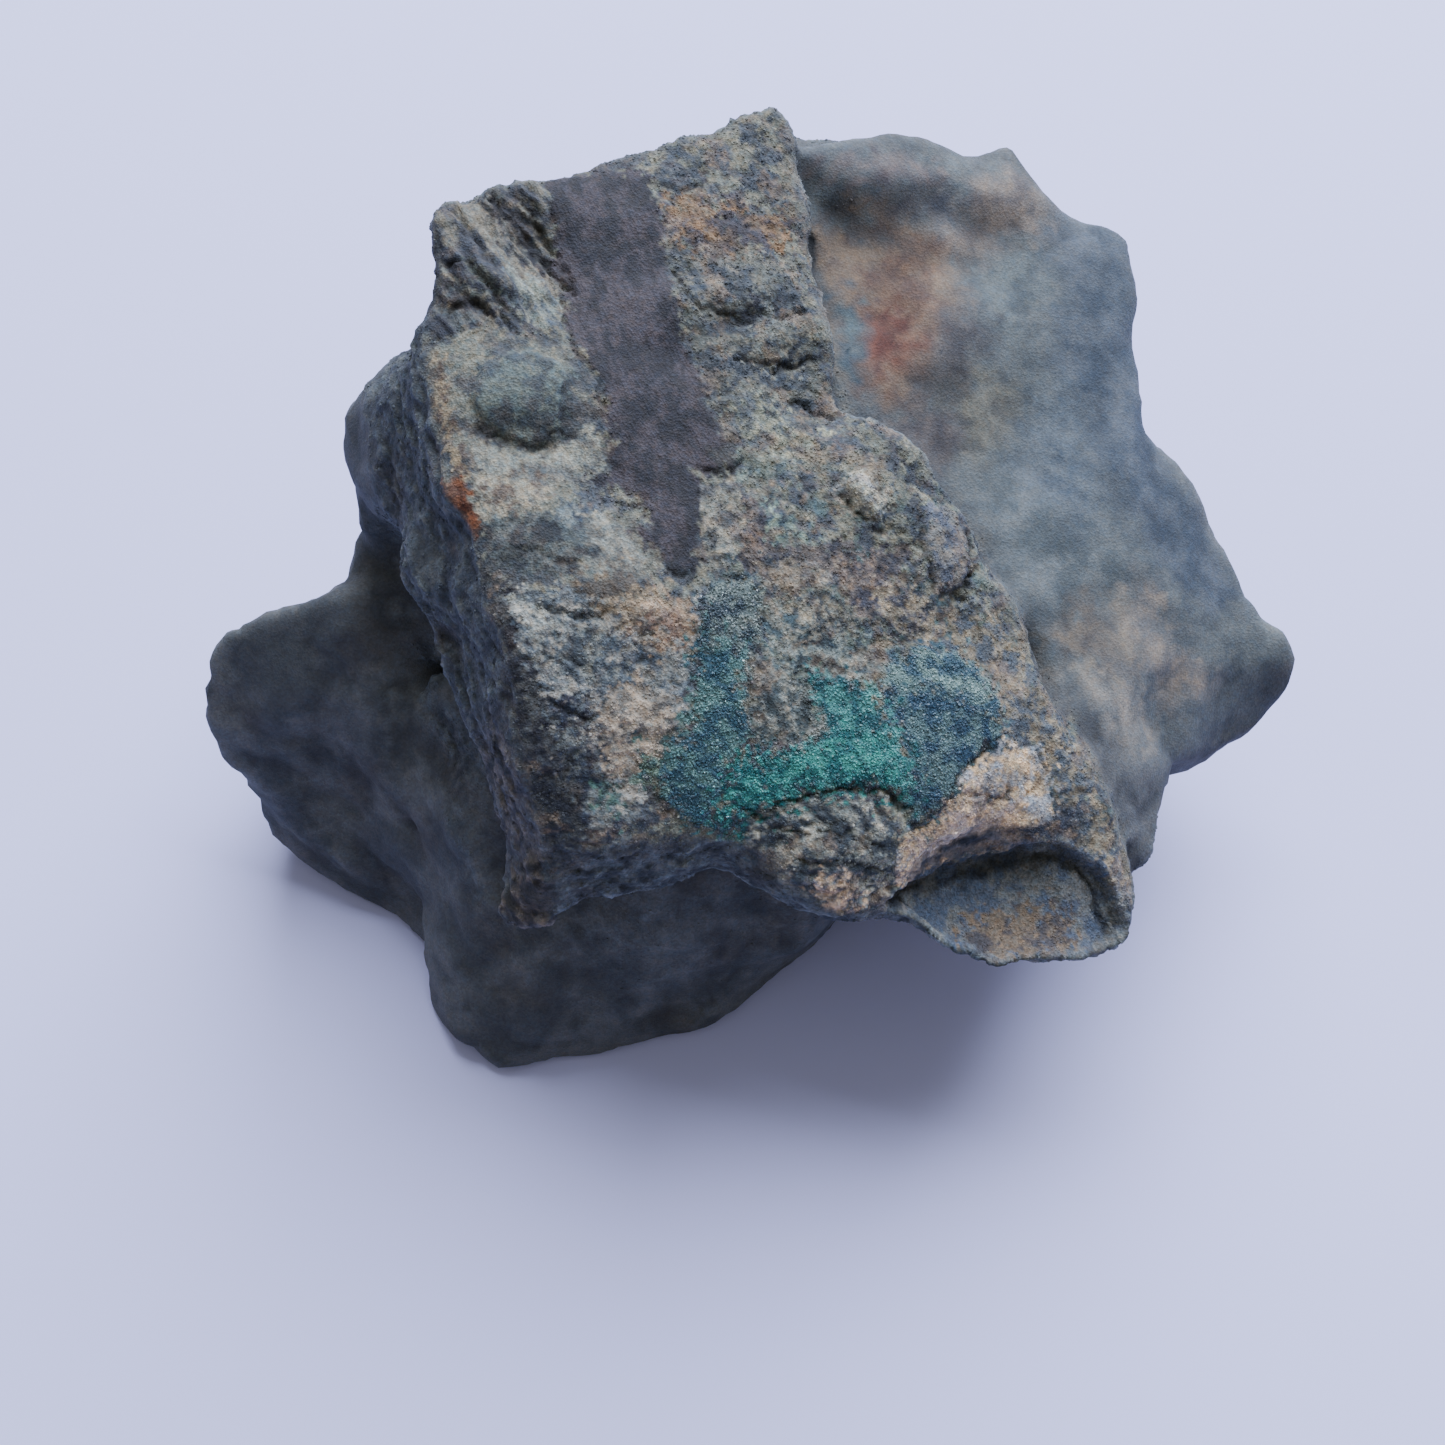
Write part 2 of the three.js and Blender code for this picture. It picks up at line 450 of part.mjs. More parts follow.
// Merges the ends of the least noticeable edge, again and again, until few enough triangles are left.
class Thinner {
  constructor({ points, triangles }) {
    this.points = points;
    this.triangles = triangles;
    this.count = triangles.length;
    this.around = points.map(() => new Set());
    triangles.forEach((triangle, t) => triangle.forEach((n) => this.around[n].add(t)));
  }

  // Moves every point towards the middle of its neighbours; the base stays level.
  relax(share) {
    this.points = this.points.map((point, n) => {
      const near = [...this.neighbours(n)];
      const middle = near.length ? new THREE.Vector3() : point.clone();
      for (const m of near) middle.addScaledVector(this.points[m], 1 / near.length);
      if (point.z === 0) middle.z = 0;
      return point.clone().lerp(middle, share);
    });
  }

  start() {
    this.quadrics = this.points.map(() => new Float64Array(10));
    this.stamps = new Uint32Array(this.points.length);
    this.heap = new Heap();
    for (const triangle of this.triangles) {
      const quadric = quadricOf(...triangle.map((n) => this.points[n]));
      for (const n of triangle) for (let m = 0; m < 10; m++) this.quadrics[n][m] += quadric[m];
    }
    for (const [a, b, c] of this.triangles) {
      if (a < b) this.offer(a, b);
      if (b < c) this.offer(b, c);
      if (c < a) this.offer(c, a);
    }
  }

  offer(a, b) {
    const quadric = this.quadrics[a].map((q, m) => q + this.quadrics[b][m]);
    const length = this.points[a].distanceTo(this.points[b]);
    const place = this.meeting(quadric, a, b, length);
    const cost = quadricError(quadric, place) + EVENNESS * length ** 3;
    this.heap.push({ cost, a, b, place, quadric, stamp: this.stamps[a] + this.stamps[b] });
  }

  // Where the two ends meet; an end on the base stays on the base.
  meeting(quadric, a, b, length) {
    const middle = this.points[a].clone().lerp(this.points[b], 0.5);
    const best = quadricPoint(quadric);
    const place = best && best.distanceTo(middle) < length ? best : middle;
    if (this.points[a].z === 0 || this.points[b].z === 0) place.z = 0;
    place.z = Math.max(place.z, 0);
    return place;
  }

  neighbours(n) {
    const found = new Set();
    for (const t of this.around[n]) for (const m of this.triangles[t]) if (m !== n) found.add(m);
    return found;
  }

  // Whether a triangle would turn over or become a sliver when its corner moves.
  spoils(t, corner, place) {
    const before = this.triangles[t].map((n) => this.points[n]);
    const after = this.triangles[t].map((n) => (n === corner ? place : this.points[n]));
    const [old, moved] = [before, after].map(([a, b, c]) => b.clone().sub(a).cross(c.clone().sub(a)));
    const [oldShape, shape] = [before, after].map(shapeOf);
    const sliver = shape < 0.25 && shape < oldShape;
    return sliver || old.dot(moved) < 0.3 * old.length() * moved.length();
  }

  allowed({ a, b, place }) {
    const near = this.neighbours(b);
    const shared = [...this.neighbours(a)].filter((n) => near.has(n));
    if (shared.length !== 2) return false;
    const spoiltAt = (n, other) =>
      [...this.around[n]].some((t) => !this.triangles[t].includes(other) && this.spoils(t, n, place));
    return !spoiltAt(a, b) && !spoiltAt(b, a);
  }

  merge({ a, b, place, quadric }) {
    this.points[a] = place;
    this.quadrics[a] = quadric;
    this.stamps[a]++;
    this.stamps[b] += 1e6;
    for (const t of this.around[b]) {
      if (this.triangles[t].includes(a)) this.remove(t);
      else {
        this.triangles[t] = this.triangles[t].map((n) => (n === b ? a : n));
        this.around[a].add(t);
      }
    }
    this.around[b] = new Set();
    for (const n of this.neighbours(a)) this.offer(a, n);
  }

  remove(t) {
    for (const n of this.triangles[t]) if (this.around[n].size) this.around[n].delete(t);
    this.triangles[t] = null;
    this.count--;
  }

  thin(target) {
    while (this.count > target && this.heap.items.length) {
      const edge = this.heap.pop();
      const fresh = edge.stamp === this.stamps[edge.a] + this.stamps[edge.b];
      if (!fresh) continue;
      if (this.allowed(edge)) this.merge(edge);
      else if (edge.cost < 0.5) this.heap.push({ ...edge, cost: 2 * edge.cost + 1e-3 });
    }
    return this.triangles.filter(Boolean);
  }
}

const grid = new Grid([-25.1, -18.9, -1.3], [25.1, 20.1, 27.7], CELL);
grid.sample(rockDistance);
grid.weather();
grid.level();
const thinner = new Thinner(outerSkin(surfaceOf(grid)));
thinner.relax(0.6);
thinner.relax(0.4);
thinner.start();
const triangles = thinner.thin(TRIANGLES);
const geometry = new THREE.BufferGeometry()
  .setAttribute("position", new THREE.Float32BufferAttribute(thinner.points.flatMap((p) => p.toArray()), 3))
  .setIndex(triangles.flat());
const rock = mergeVertices(geometry.toNonIndexed(), 1e-5);

// The origin lies under the middle of the solid, on the face it stands on.
rock.computeBoundingBox();
const { min, max } = rock.boundingBox;
rock.translate(-(min.x + max.x) / 2, -(min.y + max.y) / 2, -min.z);
rock.computeVertexNormals();

const stone = new THREE.MeshStandardMaterial({ color: 0x616a70, roughness: 0.92, metalness: 0 });
const mesh = new THREE.Mesh(rock, stone);
mesh.name = "paratacamite_rock";
const group = new THREE.Group();
group.add(mesh);
export default group;
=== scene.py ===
# %% [markdown]
# # A small stone with a green paratacamite crust
# This lesson builds one broken piece of grey rock, 45 mm long, that carries a
# crust of green copper crystals on its tilted top. The solid from the packed
# model gives the shape and the size. Here it gets what a solid cannot hold:
# cracks, chips, thin rock layers, stains and grains.

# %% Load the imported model
import math
import bpy
import bmesh
import numpy as np
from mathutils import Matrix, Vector
from mathutils.kdtree import KDTree


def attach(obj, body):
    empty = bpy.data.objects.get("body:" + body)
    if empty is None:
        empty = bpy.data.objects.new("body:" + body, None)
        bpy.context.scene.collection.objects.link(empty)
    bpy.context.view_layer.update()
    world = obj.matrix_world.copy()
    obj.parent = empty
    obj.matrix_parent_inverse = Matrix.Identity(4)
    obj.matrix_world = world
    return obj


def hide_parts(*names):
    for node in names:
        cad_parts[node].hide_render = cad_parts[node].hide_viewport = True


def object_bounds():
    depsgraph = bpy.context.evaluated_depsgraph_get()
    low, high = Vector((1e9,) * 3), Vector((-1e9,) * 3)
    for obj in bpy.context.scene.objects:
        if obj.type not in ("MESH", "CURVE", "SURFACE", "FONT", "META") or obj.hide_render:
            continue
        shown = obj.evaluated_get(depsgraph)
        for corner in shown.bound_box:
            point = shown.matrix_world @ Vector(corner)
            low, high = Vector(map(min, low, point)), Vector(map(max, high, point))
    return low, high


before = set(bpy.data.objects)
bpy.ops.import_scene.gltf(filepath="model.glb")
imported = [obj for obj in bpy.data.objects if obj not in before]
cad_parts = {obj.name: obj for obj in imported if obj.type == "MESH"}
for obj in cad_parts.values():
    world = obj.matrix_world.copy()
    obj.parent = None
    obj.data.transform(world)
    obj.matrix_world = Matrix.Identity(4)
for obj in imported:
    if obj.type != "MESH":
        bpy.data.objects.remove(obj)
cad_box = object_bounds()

MM = 0.001                     # one millimetre in metres
STONE = "paratacamite_rock"
print("solid:", STONE, "box in mm:", [round(v / MM, 2) for v in (*cad_box[0], *cad_box[1])])

# %% [markdown]
# ## Helpers
# A few short functions keep the cells below short: one puts an object in the
# scene, two read meshes, and three build node trees.

# %% Small helpers
def add_object(name, data):
    """Put a new object in the scene and return it."""
    thing = bpy.data.objects.new(name, data)
    bpy.context.scene.collection.objects.link(thing)
    return thing

def finished_mesh(thing):
    """A new mesh with the modifiers of an object applied."""
    graph = bpy.context.evaluated_depsgraph_get()
    return bpy.data.meshes.new_from_object(thing.evaluated_get(graph))

def read(items, key, width, kind):
    """What Blender keeps for each of the items, one row for each."""
    flat = np.empty(len(items) * width, kind)
    items.foreach_get(key, flat)
    return flat.reshape(-1, width)

def feed(node, **values):
    """Set a node: its settings, and its sockets by name, or by number as _0 for the first.
    A socket takes a number, an output, or a node, which stands for its first output."""
    for key, value in values.items():
        if hasattr(node, key):
            setattr(node, key, value)
            continue
        socket = node.inputs[int(key[1:]) if key[1:].isdigit() else key.replace("_", " ")]
        if isinstance(value, bpy.types.Node):
            value = value.outputs[0]
        if isinstance(value, bpy.types.NodeSocket):
            node.id_data.links.new(value, socket)
        else:
            socket.default_value = value
    return node

def node_maker(tree):
    """A quick way to add nodes to a tree and to set them."""
    return lambda kind, **values: feed(tree.nodes.new(kind), **values)

def new_shader(name):
    """A new material, its Principled shader and a quick way to add nodes."""
    material = bpy.data.materials.new(name)
    material.use_nodes = True
    tree = material.node_tree
    return material, tree.nodes["Principled BSDF"], node_maker(tree)

# %% [markdown]
# ## The camera, the floor and the light
# The stone is seen from the front and from high up, 60 degrees above the
# floor. A close camera is used, because a small stone is seen from near by.

# %% Camera
CAMERA_PLACE = (-0.986, -45.65, 79.27)      # mm
CAMERA_TILT = 30                            # degrees from straight down
CAMERA_VIEW = 40                            # degrees across the picture
SENSOR = 36                                 # mm, the width of the sensor
NEAREST = 0.002                             # metres, nothing nearer is drawn
camera = add_object("camera", bpy.data.cameras.new("camera"))
camera.location = Vector(CAMERA_PLACE) * MM
camera.rotation_euler = (math.radians(CAMERA_TILT), 0, 0)
camera.data.sensor_width = SENSOR
camera.data.lens = SENSOR / 2 / math.tan(math.radians(CAMERA_VIEW / 2))
camera.data.clip_start = NEAREST
bpy.context.scene.camera = camera
print("lens in mm:", round(camera.data.lens, 1))

# %% [markdown]
# The floor is a plain sheet of pale lavender. One large soft lamp stands
# behind the stone, so the top is bright and the front and left walls are dark.
# A pale warm sky fills the shadows.

# %% Floor and light
FLOOR_HALF = 3                      # metres, from the middle of the floor to its edges
FLOOR_COLOUR = (0.50, 0.53, 0.90)
SKY_COLOUR = (1.0, 0.965, 0.88)
SKY_STRENGTH = 0.40
LAMP_AIM = Vector((0, 0, 10))       # mm, a place inside the stone

paper, paper_shader, _ = new_shader("pale paper")
feed(paper_shader, Base_Color=(*FLOOR_COLOUR, 1), Roughness=0.9)
floor_mesh = bpy.data.meshes.new("floor")
corners = [(FLOOR_HALF * x, FLOOR_HALF * y, 0) for x, y in ((-1, -1), (1, -1), (1, 1), (-1, 1))]
floor_mesh.from_pydata(corners, [], [(0, 1, 2, 3)])
floor_mesh.materials.append(paper)
add_object("floor", floor_mesh)

def add_lamp(name, place, size, watts, colour):
    """A square soft lamp that looks at the stone. Place and size are in mm."""
    lamp = add_object(name, bpy.data.lights.new(name, "AREA"))
    lamp.location = Vector(place) * MM
    lamp.rotation_euler = (LAMP_AIM - Vector(place)).to_track_quat("-Z", "Y").to_euler()
    lamp.data.size = size * MM
    lamp.data.energy = watts
    lamp.data.color = colour

add_lamp("window", (70, 235, 275), 400, 6.06, (0.85, 0.88, 1.0))
sky = bpy.data.worlds.new("sky")
sky.use_nodes = True
feed(sky.node_tree.nodes["Background"], Color=(*SKY_COLOUR, 1), Strength=SKY_STRENGTH)
bpy.context.scene.world = sky

# %% [markdown]
# ## Noise that is the same on every run
# Rock has no two places alike, so its relief and its stains come from noise.
# Each function below takes many points at once and gives one number for each.
# Nothing is random: the noise depends on the place and on a fixed seed.

# %% Noise
# the twelve slopes that the noise can have at a corner of its lattice
SLOPES = np.array([(1, 1, 0), (-1, 1, 0), (1, -1, 0), (-1, -1, 0),
                   (1, 0, 1), (-1, 0, 1), (1, 0, -1), (-1, 0, -1),
                   (0, 1, 1), (0, -1, 1), (0, 1, -1), (0, -1, -1)], np.float32)
PRIMES = [np.uint64(p) for p in (73856093, 19349663, 83492791)]
LOW_BITS = np.uint64(0xFFFFFFFF)
FAR = 1000          # moves every place to where the lattice numbers are more than 0

def scramble(corner, seed):
    """One number from 0 to 2**32 for each lattice corner, always the same."""
    x, y, z = corner.astype(np.uint64).T
    mixed = (x * PRIMES[0]) ^ (y * PRIMES[1]) ^ (z * PRIMES[2]) ^ np.uint64(seed * 7919 + 5)
    mixed &= LOW_BITS
    for shift, factor in ((15, 2246822519), (13, 3266489917)):
        mixed = ((mixed ^ (mixed >> np.uint64(shift))) * np.uint64(factor)) & LOW_BITS
    return mixed ^ (mixed >> np.uint64(16))

def ripple(points, size, seed):
    """Smooth noise from about -1 to 1, with bumps `size` mm apart."""
    place = points / size + FAR + 7.31 * seed
    corner = np.floor(place).astype(np.int64)
    part = (place - corner).astype(np.float32)
    fade = part ** 3 * (part * (part * 6 - 15) + 10)
    total = np.zeros(len(points), np.float32)
    for step in np.ndindex(2, 2, 2):
        slope = SLOPES[(scramble(corner + step, seed) % np.uint64(len(SLOPES))).astype(int)]
        weight = np.where(step, fade, 1 - fade).prod(1)
        total += weight * ((part - np.array(step, np.float32)) * slope).sum(1)
    return total * 1.5

def grain(points, size, seed, steps=3, fall=0.5):
    """Noise of several sizes added up: big soft bumps with smaller ones on them."""
    return sum(fall ** k * ripple(points, size / 2 ** k, seed + k) for k in range(steps))

def sway(points, size, seeds, steps=3, fall=0.5):
    """One noise for each seed, side by side, to push places to and fro."""
    return np.stack([grain(points, size, seed, steps, fall) for seed in seeds], 1)

def chips(points, size, seed):
    """Cells about `size` mm wide: the distance to the middle and to the edge, and a number."""
    place = points / size + FAR
    corner = np.floor(place).astype(np.int64)
    first = np.full(len(points), 9.0)
    second = first.copy()
    number = np.zeros(len(points))
    for step in np.ndindex(3, 3, 3):
        cell = corner + np.array(step) - 1
        key = scramble(cell, seed)
        bits = [((key >> np.uint64(s)) & np.uint64(1023)).astype(float) / 1023 for s in (0, 10, 20)]
        away = np.sqrt(((cell + np.stack(bits, 1) - place) ** 2).sum(1))
        nearer = away < first
        second = np.where(nearer, first, np.minimum(second, away))
        number = np.where(nearer, (key % np.uint64(9973)).astype(float) / 9973, number)
        first = np.where(nearer, away, first)
    return first, second - first, number

def rise(value, low, high):
    """0 below low, 1 above high, and a smooth climb between."""
    part = np.clip((value - low) / (high - low), 0, 1)
    return part * part * (3 - 2 * part)

sample = np.random.default_rng(1).uniform(-20, 20, (4000, 3))
print("noise spread:", round(float(grain(sample, 1.0, 3).std()), 2))
print("mean distance to the edge of a cell:", round(float(chips(sample, 1.0, 3)[1].mean()), 2))

# %% [markdown]
# ## Where things are on the stone
# Stains and cracks are drawn as outlines and lines on the plan of the stone,
# seen from straight above, in millimetres. Two functions measure how far a
# point lies inside an outline, and how far it is from a line. A third picks
# the points near a shape, so that the others have less to do.

# %% Outlines and lines
def edge_distance(spots, ends):
    """Distance in mm from each plan point to the nearest part of a line."""
    near = np.full(len(spots), 1e9)
    for (ax, ay), (bx, by) in zip(ends[:-1], ends[1:]):
        run = np.array([bx - ax, by - ay])
        off = spots - (ax, ay)
        along = np.clip(off @ run / (run @ run), 0, 1)
        gap = off - along[:, None] * run
        near = np.minimum(near, np.hypot(gap[:, 0], gap[:, 1]))
    return near

def depth_inside(spots, outline):
    """How far each plan point lies inside a closed outline, in mm; less than 0 is outside."""
    closed = list(outline) + [outline[0]]
    near = edge_distance(spots, closed)
    odd = np.zeros(len(spots), bool)
    x, y = spots.T
    for (ax, ay), (bx, by) in zip(closed[:-1], closed[1:]):
        if ay != by:
            crosses = ((ay > y) != (by > y)) & (x < (bx - ax) * (y - ay) / (by - ay) + ax)
            odd ^= crosses
    return np.where(odd, near, -near)

def near_shape(spots, share, least, shape, margin):
    """Which points have more than the least share and lie near an outline or a line."""
    past_low = (spots > np.min(shape, 0) - margin).all(1)
    past_high = (spots < np.max(shape, 0) + margin).all(1)
    return np.flatnonzero((share > least) & past_low & past_high)

CREST = [(-11.4, 7.5), (-9.5, 8.4), (-5.6, 9.9), (-1.8, 11.7), (0.9, 13.1), (1.6, 10.0),
    (2.0, 6.9), (2.5, 5.0), (3.3, 2.3), (5.0, 1.9), (6.9, 0.3), (8.6, -2.0), (9.5, -4.1),
    (11.0, -6.7), (12.6, -9.2), (14.2, -12.2), (14.7, -14.4), (11.8, -15.6), (9.1, -15.9),
    (5.6, -14.8), (3.5, -15.0), (1.8, -14.1), (-0.2, -12.8), (-2.2, -13.1), (-3.9, -13.4),
    (-6.8, -14.2), (-7.6, -11.8), (-8.5, -8.5), (-9.2, -5.7), (-10.3, -3.1), (-10.9, -0.2),
    (-11.2, 2.2)]
FLANK = [(2.1, 12.8), (6.1, 13.8), (10.3, 14.1), (12.8, 12.7), (15.2, 12.4), (15.4, 8.6),
    (16.2, 4.2), (18.3, 1.2), (20.1, -1.3), (22.0, -1.9), (19.6, -4.6), (17.3, -6.0),
    (15.4, -7.2), (13.7, -6.2), (11.7, -4.9), (10.1, -2.4), (9.4, -0.2), (7.9, 2.1), (5.2, 3.8),
    (3.6, 4.5), (2.9, 7.2), (2.3, 9.4)]
print("crest corners:", len(CREST), "flank corners:", len(FLANK))

# %% [markdown]
# ## A fine copy of the solid
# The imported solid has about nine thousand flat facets, and it is never
# changed. A copy is merged, rounded once, and wrapped in a fine even net of
# small squares. An even net can take relief of any pattern, so this is better
# here than cutting the facets up.

# %% Fine copy
NET = 0.12          # mm, the side of one square of the net

def fine_copy(node, net):
    """A closed fine net over a CAD node, in mm: points and four-cornered faces."""
    mesh = node.data.copy()
    shell = bmesh.new()
    shell.from_mesh(mesh)
    bmesh.ops.remove_doubles(shell, verts=shell.verts, dist=1e-7)
    bmesh.ops.scale(shell, vec=(1 / MM,) * 3, verts=shell.verts)
    shell.to_mesh(mesh)
    shell.free()
    draft = add_object("draft", mesh)
    rounder = draft.modifiers.new("rounder", "SUBSURF")
    rounder.levels = rounder.render_levels = 1
    netting = draft.modifiers.new("netting", "REMESH")
    netting.mode = "VOXEL"
    netting.voxel_size = net
    fine = finished_mesh(draft)
    points = read(fine.vertices, "co", 3, np.float32).astype(float)
    faces = read(fine.polygons, "vertices", 4, np.int32)
    bpy.data.objects.remove(draft)
    bpy.data.meshes.remove(fine)
    return points, faces

points, faces = fine_copy(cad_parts[STONE], NET)
print("net points:", len(points), "squares:", len(faces))

# %% Smoothing and normals
def neighbour_pairs(faces):
    """Every edge of the net once, as two point numbers."""
    around = np.roll(faces, -1, axis=1)
    pairs = np.stack([faces.ravel(), around.ravel()], 1)
    pairs.sort(axis=1)
    return np.unique(pairs, axis=0)

def spread(values, pairs, times, share=0.5):
    """Blur numbers or places over the net: each point moves to the mean of its neighbours."""
    values = values.copy()
    flat = values.reshape(len(values), -1)
    count = np.bincount(pairs.ravel(), minlength=len(values))
    here, there = pairs.T
    for _ in range(times):
        for c in range(flat.shape[1]):
            total = (np.bincount(here, flat[there, c], len(flat))
                     + np.bincount(there, flat[here, c], len(flat)))
            flat[:, c] += share * (total / count - flat[:, c])
    return values

def outward(points, faces):
    """The direction that each point of the net faces."""
    one_way = points[faces[:, 2]] - points[faces[:, 0]]
    other_way = points[faces[:, -1]] - points[faces[:, 1]]
    face_normal = np.cross(one_way, other_way)
    normal = np.zeros_like(points)
    for k in range(faces.shape[1]):
        for axis in range(3):
            normal[:, axis] += np.bincount(faces[:, k], face_normal[:, axis], len(points))
    return normal / np.maximum(np.linalg.norm(normal, axis=1), 1e-12)[:, None]

EVEN_OUT = 4                # times the net is smoothed to lose its voxel steps
ROUND_OFF = 36              # times a second copy is smoothed, to find the rounded edges
SHARPEN = 0.9               # share of what smoothing takes that goes back on
PUSH_LIMITS = (-0.1, 0.35)  # mm
pairs = neighbour_pairs(faces)
points = spread(points, pairs, EVEN_OUT)
normal = outward(points, faces)
bulge = ((points - spread(points, pairs, ROUND_OFF)) * normal).sum(1)
points += normal * np.clip(SHARPEN * bulge, *PUSH_LIMITS)[:, None]
points[:, 2] = np.maximum(points[:, 2], 0)
normal = outward(points, faces)
print("edges:", len(pairs), "mean facing up:", round(float(normal[:, 2].mean()), 3))

# %% [markdown]
# ## The parts of the surface
# The stone broke along its beds, which are thin layers with one tilt. The
# crest is the sharp top, flat along the beds. The flank is the lower back
# slope. Walls cut across the beds. Each gets its own relief and colour.

# %% Parts of the surface
BED_TILT = np.array([0.22, -0.24, 0.95])
BED_TILT = BED_TILT / np.linalg.norm(BED_TILT)

def seen_from_above(points, cell=0.35, slack=0.7, reach=40, cells=300):
    """1 for points on the top surface, 0 for points that something else covers. Sizes are mm."""
    column = np.floor((points[:, :2] + reach) / cell).astype(int)
    top = np.full((cells, cells), -1.0)
    np.maximum.at(top, (column[:, 0], column[:, 1]), points[:, 2])
    return (points[:, 2] > top[column[:, 0], column[:, 1]] - slack).astype(float)

def parts_of(points, normal, pairs):
    """How much each point belongs to the crest, the flank and the walls."""
    plan = points[:, :2] + 0.25 * sway(points, 0.9, (11, 21))
    calm = spread(normal, pairs, 12)
    calm /= np.linalg.norm(calm, axis=1)[:, None]
    flat = np.abs(calm @ BED_TILT)
    sky_side = spread(seen_from_above(points), pairs, 4)
    open_top = rise(sky_side, 0.35, 0.75) * rise(calm[:, 2], 0.12, 0.4)
    crest = open_top * rise(depth_inside(plan, CREST), -1.2, 0.1) * rise(flat, 0.45, 0.7)
    flank = open_top * rise(depth_inside(plan, FLANK), -1.6, 0.4) * (1 - crest)
    wall = 1 - rise(flat, 0.5, 0.8)
    wall = wall * (1 - 0.8 * crest)
    slab_wall = wall * rise(points[:, 2], 3.5, 9.5) * rise(depth_inside(plan, CREST), -4.0, -2.5)
    return {"crest": crest, "flank": flank, "wall": wall, "slab wall": slab_wall, "calm": calm}

parts = parts_of(points, normal, pairs)
print({k: round(float(v.mean()), 3) for k, v in parts.items() if k != "calm"})

# %% [markdown]
# ## Relief
# The relief is a height for each point of the net, in mm, along the direction
# that the point faces. It has grains and chips on the crest, ledges where a
# wall cuts the beds, and softer lumps on the flank. Sharp cracks and small
# steps are drawn as named lines.

# %% Named cracks
# line on the plan, depth in mm, half width in mm
CRACKS = {
    "foot of the olive mound": ([(-9.9, -0.9), (-9.3, -1.2), (-8.5, -1.2), (-7.8, -1.3),
        (-7.3, -1.2), (-7.1, -0.8), (-6.4, -0.7)], 0.22, 0.10),
    "first groove between layers": ([(-9.8, 8.9), (-9.1, 7.7), (-8.1, 6.5), (-7.3, 5.7),
        (-6.7, 5.1)], 0.43, 0.15),
    "second groove between layers": ([(-8.4, 8.2), (-7.5, 6.8), (-6.9, 6.0),
        (-6.5, 4.9)], 0.30, 0.11),
    "layer line, low": ([(-11.0, 3.6), (-10.2, 3.9), (-9.3, 3.4), (-8.4, 2.8)], 0.26, 0.12),
    "layer line, middle": ([(-11.2, 5.2), (-10.3, 5.3), (-9.4, 4.4), (-8.8, 3.7)], 0.30, 0.14),
    "layer line, high": ([(-10.9, 6.9), (-9.9, 6.1), (-9.2, 5.1)], 0.17, 0.09),
    "edge of the plum band": ([(-6.9, 4.4), (-6.6, 2.9), (-6.1, 2.0), (-5.6, 1.4),
        (-5.3, 0.2)], 0.18, 0.09),
    "end of the plum band": ([(-2.0, -1.3), (-1.2, -1.35), (-0.5, -1.2),
        (-0.2, -0.7)], 0.26, 0.11),
    "foot of the plum lobe": ([(-4.1, -4.2), (-3.1, -5.0), (-2.5, -5.4),
        (-1.9, -5.2)], 0.12, 0.08),
    "nick in the plum band": ([(-2.9, 6.2), (-2.2, 5.2), (-1.6, 4.8)], 0.33, 0.13),
    "upper slot": ([(-1.3, 4.9), (-0.5, 4.6), (0.1, 4.7), (1.1, 5.1), (2.0, 5.5)], 0.33, 0.15),
    "middle slot": ([(-0.4, 3.2), (0.6, 3.1), (1.6, 3.5), (2.5, 3.9)], 0.36, 0.15),
    "lower slot": ([(1.7, 2.2), (2.5, 1.9), (3.2, 1.8)], 0.33, 0.15),
    "nick near the peak": ([(-3.7, 9.8), (-2.6, 9.6), (-1.8, 9.9)], 0.26, 0.15),
    "lower edge of the green crust": ([(-0.2, -12.4), (0.4, -12.5), (1.5, -12.2), (2.9, -11.7),
        (4.0, -11.6), (5.0, -11.6), (5.8, -12.0)], 0.30, 0.11),
    "edge of the indigo crust": ([(5.9, -12.4), (6.7, -12.2), (7.3, -11.4), (8.0, -10.3),
        (9.1, -9.3)], 0.20, 0.08),
    "pink crack, upper": ([(8.0, -10.4), (8.8, -9.6), (9.5, -9.2)], 0.23, 0.10),
    "pink crack, lower": ([(7.8, -11.3), (8.8, -11.3), (9.8, -10.9)], 0.23, 0.10),
    "pink crack, right": ([(10.6, -10.6), (11.2, -10.0), (11.0, -9.4)], 0.20, 0.09),
    "foot of the boss": ([(8.5, -1.6), (8.5, -3.2), (8.0, -4.3), (7.2, -4.6)], 0.50, 0.17),
    "left of the boss": ([(6.4, -1.4), (6.5, -2.6), (6.9, -4.2)], 0.25, 0.14),
    "foot of the pale knob": ([(3.3, -1.5), (3.9, -2.0), (4.5, -2.5), (5.2, -2.5)], 0.23, 0.11),
    "grey tongue crack, upper": ([(1.0, -12.9), (2.2, -13.2), (3.5, -13.0),
        (4.9, -13.2)], 0.23, 0.10),
    "grey tongue crack, lower": ([(1.8, -13.9), (2.9, -14.0), (4.1, -13.7),
        (5.1, -13.9)], 0.20, 0.10),
    "under the arch": ([(5.5, -14.8), (6.4, -13.9), (8.2, -13.1), (10.0, -12.6), (11.7, -12.6),
        (12.8, -13.0), (13.5, -13.7), (14.2, -15.2)], 0.42, 0.22),
    "blue patch crack": ([(-8.8, -5.3), (-7.8, -5.2), (-6.8, -5.6), (-6.1, -5.6)], 0.20, 0.11),
    "sand crack, upper": ([(-7.4, -7.1), (-6.2, -7.4), (-5.0, -7.1)], 0.20, 0.11),
    "sand crack, middle": ([(-7.9, -8.9), (-6.6, -8.6), (-5.6, -9.0)], 0.18, 0.11),
    "sand crack, lower": ([(-6.9, -10.2), (-5.7, -10.4), (-4.9, -9.9)], 0.18, 0.11),
}
